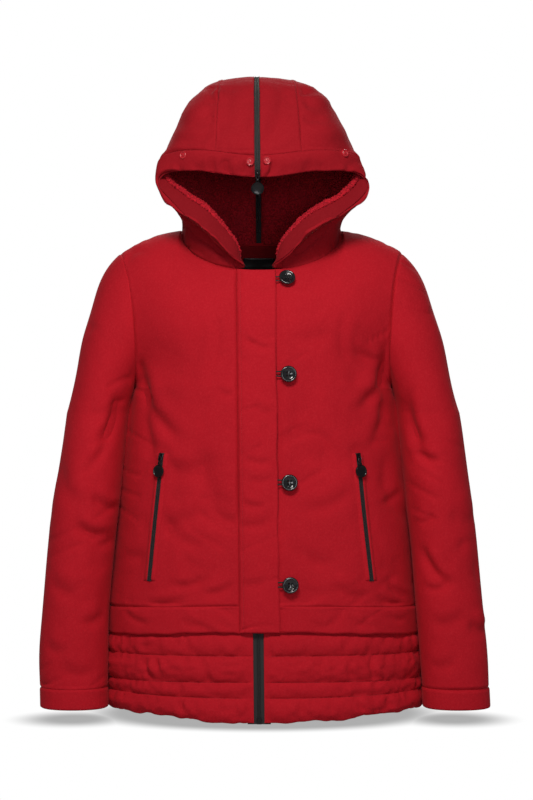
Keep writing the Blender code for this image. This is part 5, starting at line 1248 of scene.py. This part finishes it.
tape_cloth, tree = empty_material("black_zip_tape")  # woven herringbone polyester, near black, dull
grain = add_node(tree, "ShaderNodeUVMap", uv_map="grain")
ribs = add_node(tree, "ShaderNodeTexWave", [("Vector", grain, "UV")], bands_direction="DIAGONAL",
    inputs={"Scale": 190.0, "Distortion": 1.0})
tone = add_node(tree, "ShaderNodeMix", [("Factor", ribs, "Fac")], data_type="RGBA",
    inputs={6: colour("#121214"), 7: colour("#2a292b")})
bump = add_node(tree, "ShaderNodeBump", [("Height", ribs, "Fac")],
    inputs={"Strength": 0.4, "Distance": 0.0002})
skin = add_node(tree, "ShaderNodeBsdfPrincipled", [("Base Color", tone, 2), ("Normal", bump, 0)],
    inputs={"Roughness": 0.8, "Sheen Weight": 0.1})
add_node(tree, "ShaderNodeOutputMaterial", [("Surface", skin, 0)])


def smooth_hard(name, low_hex, high_hex, roughness, metallic, scale=90.0, coat=0.0, bump_depth=0.00005):
    """A hard finish whose tone and roughness vary slightly, as on a worn or moulded piece."""
    made, tree = empty_material(name)
    place = add_node(tree, "ShaderNodeTexCoord")
    cloudy = add_node(tree, "ShaderNodeTexNoise", [("Vector", place, "Object")],
        inputs={"Scale": scale, "Detail": 4.0, "Roughness": 0.6})
    tone = add_node(tree, "ShaderNodeMix", [("Factor", cloudy, "Fac")], data_type="RGBA",
        inputs={6: colour(low_hex), 7: colour(high_hex)})
    worn = add_node(tree, "ShaderNodeMapRange", [("Value", cloudy, "Fac")],
        inputs={"To Min": roughness * 0.8, "To Max": roughness * 1.25})
    dents = add_node(tree, "ShaderNodeBump", [("Height", cloudy, "Fac")],
        inputs={"Strength": 0.3, "Distance": bump_depth})
    skin = add_node(
        tree, "ShaderNodeBsdfPrincipled",
        [("Base Color", tone, 2), ("Roughness", worn, 0), ("Normal", dents, 0)],
        inputs={"Metallic": metallic, "Coat Weight": coat, "Coat Roughness": 0.1},
    )
    add_node(tree, "ShaderNodeOutputMaterial", [("Surface", skin, 0)])
    return made


coil_nylon = smooth_hard("dark_nylon_coil", "#1d1e1f", "#343634", 0.42, 0.0)  # moulded nylon wire, dull gleam
# the hood's coil, paler and greener
hood_nylon = smooth_hard("grey_nylon_coil", "#2c2f2d", "#454843", 0.5, 0.0)
# zinc, baked enamel
black_metal = smooth_hard("black_enamelled_metal", "#0d0d0f", "#1b1b1e", 0.3, 0.55, coat=0.3)
# plated wire of links and inner teeth
bright_metal = smooth_hard("dark_nickel", "#3a3a3d", "#6a6a6e", 0.22, 1.0)


def coil_rows(middle, across, half, out, lift):
    """The two lines of a coil's loops, either side of its middle line. All are in metres but the sizes."""
    return [middle + across * (side * half / 1000) + out * (lift / 1000) for side in (-1, 1)]


heights = np.linspace(QUILT_HEM - 2, -560, 44)
xs_tape = HEM_ZIP_X + HEM_TAPE_HALF * np.linspace(-1, 1, 9)
v = height_to_v(heights)
grid = []
for x in xs_tape:
    column = body_point(FRONT, front_share_at_x(abs(x), v), v)
    column[:, 0] = x
    grid.append(column + np.array([0.0, QUILT_INSET + ZIP_EDGE_WALL + 0.5, 0.0]))
points = np.stack(grid, axis=1)
out = np.zeros_like(points) + np.array([0.0, -1.0, 0.0])
tape = cloth("hem_zip_woven_tape", points, out, 0.0 * points[..., 0], 1.8, tape_cloth,
    edges=("none", "none", "fold", "none"))
dressed(tape, "hem_zip_tape")
cut(33, 130, flat_area(points))
chain = leant(points[3:, 4]) / 1000
sideways, outwards = np.array([1.0, 0.0, 0.0]), np.array([0.0, -1.0, 0.0])
rows_of_coil = coil_rows(chain, sideways, 1.5, outwards, 0.9)
coil = beaded("hem_zip_coil", rows_of_coil, 1.5, (0.62, 1.7, 0.95), coil_nylon)
dressed(coil, "hem_zip_tape")


def add_mesh(name, verts, faces, material, matrix=None, smooth=40):
    """An object from verts in mm, set in place by a matrix in metres."""
    mesh = bpy.data.meshes.new(name)
    mesh.from_pydata([Vector(v) / 1000 for v in verts], [], faces)
    if matrix is not None:
        mesh.transform(matrix)
    mesh.shade_smooth()
    mesh.set_sharp_from_angle(angle=math.radians(smooth))
    mesh.materials.append(material)
    made = bpy.data.objects.new(name, mesh)
    bpy.context.scene.collection.objects.link(made)
    return made


def merged(name, parts, material):
    """One object from several (verts, faces) in mm."""
    verts, faces = [], []
    for part_verts, part_faces in parts:
        faces += [[k + len(verts) for k in face] for face in part_faces]
        verts += [tuple(v) for v in part_verts]
    return name, verts, faces, material


def rounded_box(size, middle, corner=0.35):
    """The verts and faces of a box with chamfered edges, in mm."""
    half = np.array(size) / 2
    verts, faces, index = [], [], {}
    for sx in (-1, 1):
        for sy in (-1, 1):
            for sz in (-1, 1):
                for axis in range(3):
                    point = np.array([sx, sy, sz]) * (half - corner)
                    point[axis] = (sx, sy, sz)[axis] * half[axis]
                    index[sx, sy, sz, axis] = len(verts)
                    verts.append(point + middle)
    for axis in range(3):
        b, c = (axis + 1) % 3, (axis + 2) % 3
        for s in (-1, 1):
            ring_order = [(-1, -1), (1, -1), (1, 1), (-1, 1)][:: s]
            faces.append([index[
                tuple(np.array([s if k == axis else (p if k == b else q) for k in range(3)]))+ (axis,)]
                for p, q in ring_order])
    for axis in range(3):
        b, c = (axis + 1) % 3, (axis + 2) % 3
        for p in (-1, 1):
            for q in (-1, 1):
                ends = []
                for s in (-1, 1):
                    key = tuple(s if k == axis else (p if k == b else q) for k in range(3))
                    ends.append([index[key + (b,)], index[key + (c,)]])
                quad = [ends[0][0], ends[1][0], ends[1][1], ends[0][1]]
                faces.append(quad if p * q > 0 else quad[::-1])
    for sx in (-1, 1):
        for sy in (-1, 1):
            for sz in (-1, 1):
                tri = [index[sx, sy, sz, k] for k in range(3)]
                faces.append(tri if sx * sy * sz > 0 else tri[::-1])
    return verts, faces


def lathe(profile, segments=56, middle=(0.0, 0.0, 0.0)):
    """The verts and faces of a turned solid in mm. The profile is (radius, height) from axis to axis."""
    rings = profile[1:-1]
    turn = np.linspace(0, 2 * math.pi, segments, endpoint=False)
    verts = [(middle[0], middle[1], profile[0][1])]
    verts += [(middle[0] + r * math.cos(a), middle[1] + r * math.sin(a), h) for r, h in rings for a in turn]
    verts.append((middle[0], middle[1], profile[-1][1]))
    faces, top = [], 1 + (len(rings) - 1) * segments
    for k in range(segments):
        after = (k + 1) % segments
        faces.append([0, 1 + after, 1 + k])
        faces.append([top + k, top + after, len(verts) - 1])
        for r in range(len(rings) - 1):
            a, b = 1 + r * segments, 1 + (r + 1) * segments
            faces.append([a + k, a + after, b + after, b + k])
    return verts, faces


def tube(route, radius, sides=8, closed=False):
    """The verts and faces of a round cord along a route, in mm."""
    route = np.array(route, float)
    ways = np.roll(route, -1, axis=0) - np.roll(route, 1, axis=0) if closed else np.gradient(route, axis=0)
    ways = unit(ways)
    up = np.array([0.0, 0.0, 1.0])
    if np.abs(ways @ up).max() > 0.9:
        up = np.array([0.13, 0.99, 0.05])
    verts, faces = [], []
    for point, way in zip(route, ways):
        a = unit(np.cross(way, up))
        b = np.cross(way, a)
        verts += [point + radius * (a * math.cos(t) + b * math.sin(t))
            for t in np.linspace(0, 2 * math.pi, sides, endpoint=False)]
    count = len(route)
    for k in range(count if closed else count - 1):
        for j in range(sides):
            a, b = k * sides + j, k * sides + (j + 1) % sides
            c, d = ((k + 1) % count) * sides + (j + 1) % sides, ((k + 1) % count) * sides + j
            faces.append([a, b, c, d])
    if not closed:
        faces += [list(range(sides))[::-1], [(count - 1) * sides + j for j in range(sides)]]
    return verts, faces


def frame_at(point, up, out):
    """The matrix of a frame on the cloth, in metres: X across, Y up along the cloth, Z out of it."""
    out = unit(np.asarray(out, float))
    up = unit(np.asarray(up, float) - out * np.dot(up, out))
    matrix = Matrix.Identity(4)
    for column, way in enumerate((np.cross(up, out), up, out)):
        matrix.col[column][:3] = way
    matrix.translation = Vector(point)
    return matrix


foot = leant(points[0].mean(axis=0) + np.array([0.0, -0.3, 0.0])) / 1000
box_frame = frame_at(foot, (0, 0, 1), (0, -1, 0))
box = merged("hem_zip_stop", [rounded_box((6.8, 8.6, 3.2), (0, 4.7, 1.9), 0.6),
    rounded_box((4.6, 2.0, 0.8), (0, 6.0, 3.6), 0.25)], black_metal)
dressed(add_mesh(*box, box_frame), "hem_zip_box")

pocket_up = {}
for pocket in POCKETS:
    row = dict(zip(POCKET_COLUMNS, pocket))
    side, word = row["side"], "left" if row["side"] == LEFT else "right"
    heights = np.linspace(row["bottom_z"], row["top_z"], 60)
    middles = np.linspace(row["bottom_x"], row["top_x"], 60)
    v = height_to_v(heights)

    def strip(offsets):
        """The grid of points and normals along the pocket, at offsets from its middle line."""
        u = np.array([[share_at_x(lambda a, b: body_point(FRONT, a, b), x + dx, [k], 0.2, 0.98)[0]
            for dx in offsets] for x, k in zip(middles, v)])
        wide = np.broadcast_to(v[:, None], u.shape)
        return body_point(FRONT, u, wide), body_out(FRONT, u, wide)

    offsets = np.linspace(-3.3, 3.3, 7)
    points, out = strip(offsets)
    tape = cloth(f"pocket_zip_tape_{word}", points + out, out, 0.0 * points[..., 0], 0.9, tape_cloth, side,
        ("none",) * 4)
    dressed(tape, "pocket_zip_" + word)
    cut(12, 190, flat_area(points))
    chain = leant(mirrored(points[:, 3] + out[:, 3], side)) / 1000
    outwards = mirrored(out[:, 3], side)
    sideways = unit(np.cross(np.gradient(chain, axis=0), outwards))
    rows_of_coil = coil_rows(chain, sideways, 1.45, outwards, 0.55)
    coil = beaded(f"pocket_zip_coil_{word}", rows_of_coil, 1.5, (0.6, 1.6, 0.75), coil_nylon)
    dressed(coil, "pocket_zip_" + word)
    for low, high in ((-8.2, -2.7), (2.7, 8.2)):
        offsets = np.linspace(low, high, 9)
        points, out = strip(offsets)
        t = (offsets - low) / (high - low)
        t = t if low < 0 else 1 - t
        swell = np.sin(np.clip(t / 0.85, 0, 1) * math.pi / 2) ** 1.4
        raised = 0.15 + 2.1 * swell * np.clip((1 - t) / 0.12, 0, 1) ** 0.5
        ends = smoothstep(0, 0.02, np.linspace(0, 1, 60)) * smoothstep(1, 0.98, np.linspace(0, 1, 60))
        flat = 0 * points[..., 0]
        lift = raised[None] * (0.1 + 0.9 * ends[:, None])
        lift = lift + 0.25 * noise(heights[:, None] / 7 + flat, flat, 171)
        part = "front" if (low < 0) else "rear"
        welt = cloth(f"pocket_welt_{part}_{word}", points, out, lift, 1.2, red_microfibre, side,
            ("none",) * 4)
        dressed(welt, "pocket_zip_" + word)
        cut(12, 190, flat_area(points))
    pocket_up[side] = chain[-1] - chain[0]

rows = np.linspace(0, HOOD_LAST, 170)
edge_u = hood_share_at_x(HOOD_ZIP_HALF + 0.3, rows)
u = edge_u[:, None] + (HOOD_LAST - edge_u)[:, None] * np.linspace(0, 1, 4)
v = np.broadcast_to(rows[:, None], u.shape)
points, out = hood_point(u, v), hood_out(u, v)
points = np.concatenate([mirrored(points, RIGHT), points[:, -2::-1]], axis=1)
out = np.concatenate([mirrored(out, RIGHT), out[:, -2::-1]], axis=1)
out[:, 3, 0] = 0.0
points[..., 2] -= 5.0 * smoothstep(6.85, 7.0, rows)[:, None]
points = points - out * (3.2 * smoothstep(185, 215, points[..., 2:]))
tape = cloth("hood_zip_woven_tape", points - out * 0.9, out, 0.0 * points[..., 0], HOOD_WALL - 0.9,
    tape_cloth, edges=("none",) * 4)
dressed(tape, "hood_zip_tape")
cut(12, 560, flat_area(points))
middle = leant(points[:, 3]) / 1000
rows_of_coil = coil_rows(middle[6:-2], np.array([1.0, 0.0, 0.0]), 1.75, out[6:-2, 3], -0.75)
coil = beaded("hood_zip_coil", rows_of_coil, 1.4, (0.62, 1.95, 0.8), hood_nylon)
dressed(coil, "hood_zip_tape")
inner_rows = coil_rows(middle[70:-3], np.array([1.0, 0.0, 0.0]), 1.3, -out[70:-3, 3], HOOD_WALL + 0.5)
teeth = beaded("hood_zip_inner_teeth", inner_rows, 2.1, (0.75, 1.5, 0.8), bright_metal)
dressed(teeth, "hood_zip_tape")

# ---------------------------------------------------------------------------------------------
# Sliders and pulls: a cast slider with a bridge, a wire link through it, and a plain round disc
# with a raised rim. The link and disc swing on the slider's bridge.
# ---------------------------------------------------------------------------------------------

PIVOT_HEIGHT, PULL_DROP = 3.65, 20.5
PULLS = (  # slider, pull, body, pivot in mm, axis
    ("pocket_slider_right", "pocket_pull_right", "pull_right", (-137.5, -108.22, -322.59),
    (-0.82909, 0.55574, 0.06144)),
    ("pocket_slider_left", "pocket_pull_left", "pull_left", (141.55, -113.83, -322.63),
    (-0.86003, -0.50292, -0.08612)),
    ("hood_zip_slider", "hood_pull", "pull_hood", (-0.77, -140.53, 68.96), (-1.0, 0.0, 0.0)),
)
hood_up = hood_point(7.0, 0.22) - hood_point(7.0, 0.17)
for slider_name, pull_name, body, pivot, axis in PULLS:
    up = hood_up if body == "pull_hood" else pocket_up[RIGHT if body == "pull_right" else LEFT]
    axis = unit(np.array(axis))
    up = unit(up - axis * np.dot(up, axis))
    outwards = np.cross(-axis, up)
    outwards = outwards if outwards[1] < 0 else -outwards
    frame_of_pull = frame_at(np.array(pivot) / 1000, up, outwards)
    frame_of_slider = frame_of_pull @ Matrix.Translation((0, 0, -PIVOT_HEIGHT / 1000))
    arch = [(0.0, 3.5 * math.cos(a), 2.2 + 3.9 * math.sin(a)) for a in np.linspace(0, math.pi, 15)]
    parts = [
        rounded_box((7.0, 6.2, 1.5), (0, 1.9, 1.55), 0.5), rounded_box((5.6, 5.0, 1.4), (0, -2.4, 1.5), 0.5),
        rounded_box((6.6, 9.6, 0.8), (0, 0, 0.35), 0.2), rounded_box((2.4, 2.4, 1.0), (0, 4.2, 1.9), 0.3),
        tube(arch, 0.75, 8),
    ]
    cast = add_mesh(*merged(slider_name + "_cast", parts, black_metal), frame_of_slider)
    dressed(cast, slider_name)
    link = [(1.75 * math.sin(a) * (1.25 - 0.25 * math.cos(a)), -3.6 - 4.1 * math.cos(a),
        0.15 * math.cos(a)) for a in np.linspace(0, 2 * math.pi, 28, endpoint=False)]
    link_piece = add_mesh(*merged(pull_name + "_link", [tube(link, 0.6, 8, True)], bright_metal),
        frame_of_pull)
    dressed(link_piece, pull_name, body)
    profile = ((0, -1.0), (8.2, -1.0), (8.9, -0.7), (9.1, 0.0), (8.9, 0.9), (8.4, 1.35), (7.7, 1.35),
        (7.2, 0.75), (6.9, 0.6), (0, 0.6))
    eye = [(1.7 * math.sin(a), -10.2 - 1.9 * math.cos(a), 0.1)
        for a in np.linspace(0, 2 * math.pi, 20, endpoint=False)]
    disc = [lathe(profile, 56, (0.0, -PULL_DROP, 0.0)), tube(eye, 0.75, 8, True)]
    dressed(add_mesh(*merged(pull_name + "_disc", disc, black_metal), frame_of_pull), pull_name,
        body)

# ---------------------------------------------------------------------------------------------
# Snaps on the hood's band: moulded red caps, each a raised ring round a small stud.
# ---------------------------------------------------------------------------------------------

snap_plastic = smooth_hard("red_snap_plastic", "#a31522", "#c4222f", 0.32, 0.0, coat=0.2)  # moulded acetal
SNAPS = ((RIGHT, 107.0, 0.76), (RIGHT, 10.0, 0.74), (LEFT, 13.0, 0.78), (LEFT, 118.0, 0.86))
SNAP_PROFILE = (
    (0, -0.8), (5.6, -0.8), (5.8, 1.5), (5.5, 2.4), (4.9, 2.8), (4.2, 2.6), (3.6, 1.9), (2.4, 1.75),
    (2.1, 2.3),
    (1.4, 2.55), (0, 2.55),
)
for number, (side, x, row) in enumerate(SNAPS, 1):
    share = hood_share_at_x(x, np.array([row]))
    point, outwards = hood_point(share, np.array([row]))[0], hood_out(share, np.array([row]))[0]
    up = hood_point(share, np.array([row + 0.05]))[0] - point
    snap_frame = frame_at(leant(mirrored(point, side)) / 1000, mirrored(up, side), mirrored(outwards, side))
    piece = add_mesh(*merged(f"snap_cap_{number}", [lathe(SNAP_PROFILE, 40)], snap_plastic), snap_frame)
    dressed(piece, f"hood_snap_{number}")

# ---------------------------------------------------------------------------------------------
# Buttons: four-hole resin buttons on thread shanks, each in a loop of black elastic cord that comes
# from under the fly's edge.
# ---------------------------------------------------------------------------------------------

# cast polyester, polished
resin = smooth_hard("black_button_resin", "#0e0e10", "#1f1f22", 0.16, 0.0, 60.0, 0.5)
# braided cover
elastic = smooth_hard("black_elastic_cord", "#0c0c0d", "#232324", 0.75, 0.0, 900.0, 0.0, 0.0003)
black_thread = smooth_hard("black_thread", "#101011", "#2b2b2d", 0.6, 0.0, 900.0)  # waxed button thread
BUTTON_X, BUTTON_HEIGHTS = 38.5, (-75.0, -208.0, -358.0, -499.0)
BUTTON_PROFILE = (
    (0, 4.4), (8.6, 4.4), (10.3, 4.8), (11.3, 5.7), (11.5, 6.6), (11.2, 7.6), (10.3, 8.5), (9.3, 8.6),
    (8.4, 8.2),
    (7.5, 7.2), (6.8, 6.8), (0, 6.6),
)
rows = np.linspace(0.2, 2.98, 140)
shares = front_share_at_x(BUTTON_X, rows)
button_v = np.interp(BUTTON_HEIGHTS, body_point(FRONT, shares, rows)[:, 2], rows)
for number, v in enumerate(button_v, 1):
    u = front_share_at_x(BUTTON_X, [v])
    point, outwards = body_point(FRONT, u, np.array([v]))[0], body_out(FRONT, u, np.array([v]))[0]
    button_frame = frame_at(leant(point) / 1000, (0, 0, 1), outwards)
    button = add_mesh(*merged(f"button_resin_{number}", [lathe(BUTTON_PROFILE)], resin), button_frame)
    drills = []
    for dx, dy in ((-1.7, -1.7), (1.7, -1.7), (1.7, 1.7), (-1.7, 1.7)):
        drills.append(lathe(((0, 4.0), (1.0, 4.0), (1.0, 7.6), (0, 7.6)), 14, (dx, dy, 0.0)))
    drill = add_mesh(*merged("drill", drills, resin), button_frame)
    holes = button.modifiers.new("holes", "BOOLEAN")
    holes.operation, holes.solver, holes.object = "DIFFERENCE", "EXACT", drill
    bpy.context.view_layer.update()
    drilled = bpy.data.meshes.new_from_object(button.evaluated_get(bpy.context.evaluated_depsgraph_get()))
    button.modifiers.clear()
    button.data = drilled
    bpy.data.objects.remove(drill)
    dressed(button, f"button_{number}")
    spin = 0.35 * number
    shank = [(0.9 * math.cos(a + spin), 0.9 * math.sin(a + spin), h) for h,
        a in zip(np.linspace(-0.6, 4.6, 22), np.linspace(0, 9, 22))]
    crossed = [[(s * 1.7, -1.7, 6.55), (s * 1.7, -0.9, 7.3), (s * 1.7, 0.9, 7.3), (s * 1.7, 1.7, 6.55)]
        for s in (-1, 1)]
    parts = [tube(shank, 1.3, 8)] + [tube(route, 0.45, 6) for route in crossed]
    dressed(add_mesh(*merged(f"button_thread_{number}", parts, black_thread), button_frame),
        f"button_{number}")
    reach = FLY_EDGE_X - 2.0 - BUTTON_X
    turn = np.radians(np.linspace(100, -100, 19))
    route = [(reach, 3.6, 0.9), (reach + 4, 3.7, 1.3),
        (reach + 8, 3.6, 1.9)] + [(3.3 * math.cos(a), 3.3 * math.sin(a), 2.6) for a in turn]
    route += [(reach + 8, -3.2, 1.8), (reach + 4, -2.7, 1.2), (reach, -2.4, 0.8)]
    loop = add_mesh(*merged(f"elastic_loop_{number}", [tube(route, 0.95, 8)], elastic), button_frame)
    dressed(loop, f"button_loop_{number}")

# ---------------------------------------------------------------------------------------------
# Inside the back of the neck: a facing of the outer cloth, and a bare black satin label with its
# ends turned under and sewn down.
# ---------------------------------------------------------------------------------------------

rows, shares = np.linspace(2.25, 2.97, 26), np.linspace(0, 0.52, 30)
u, v = np.meshgrid(shares, rows)
half, half_out = body_point(BACK, u, v), body_out(BACK, u, v)
points, out = both_halves(half), both_halves(half_out)
lining_lift = 0.5 * noise(points[..., 0] / 26, points[..., 2] / 14, 181)
# the neck facing takes the facing's darker copy of the cloth: painted shade
facing = cloth("back_neck_facing", points - out * (SHELL + 0.6), out, 0.0 * lining_lift, 2.0 + lining_lift,
    painted_shade_facing_cloth, edges=("none",) * 4)
dressed(facing, "neck_facing")
cut(230, 100, flat_area(points))

# woven satin ribbon: fine ribs along it, a broad soft gleam
satin, tree = empty_material("black_label_satin")
grain = add_node(tree, "ShaderNodeUVMap", uv_map="grain")
ribs = add_node(tree, "ShaderNodeTexWave", [("Vector", grain, "UV")], bands_direction="Y",
    inputs={"Scale": 260.0, "Distortion": 0.5})
tone = add_node(tree, "ShaderNodeMix", [("Factor", ribs, "Fac")], data_type="RGBA",
    inputs={6: colour("#0d0c0d"), 7: colour("#1c1a1c")})
bump = add_node(tree, "ShaderNodeBump", [("Height", ribs, "Fac")],
    inputs={"Strength": 0.3, "Distance": 0.0001})
skin = add_node(tree, "ShaderNodeBsdfPrincipled", [("Base Color", tone, 2), ("Normal", bump, 0)],
    inputs={"Roughness": 0.4, "Anisotropic": 0.5})
add_node(tree, "ShaderNodeOutputMaterial", [("Surface", skin, 0)])
rows = np.linspace(2.46, 2.74, 16)
edge = share_at_x(lambda a, b: body_point(BACK, a, b), 24.0, rows, 0.0, 0.6)
u = edge[:, None] * np.linspace(0, 1, 9)
v = np.broadcast_to(rows[:, None], u.shape)
points, out = both_halves(body_point(BACK, u, v)), both_halves(body_out(BACK, u, v))
wavy = 0.35 * noise(points[..., 0] / 13, points[..., 2] / 9, 185)
label = cloth("neck_label", points - out * (SHELL + 3.8), out, 0.0 * wavy, 1.1 + wavy, satin,
    edges=("none",) * 4)
dressed(label, "label")
cut(48, 40, flat_area(points))
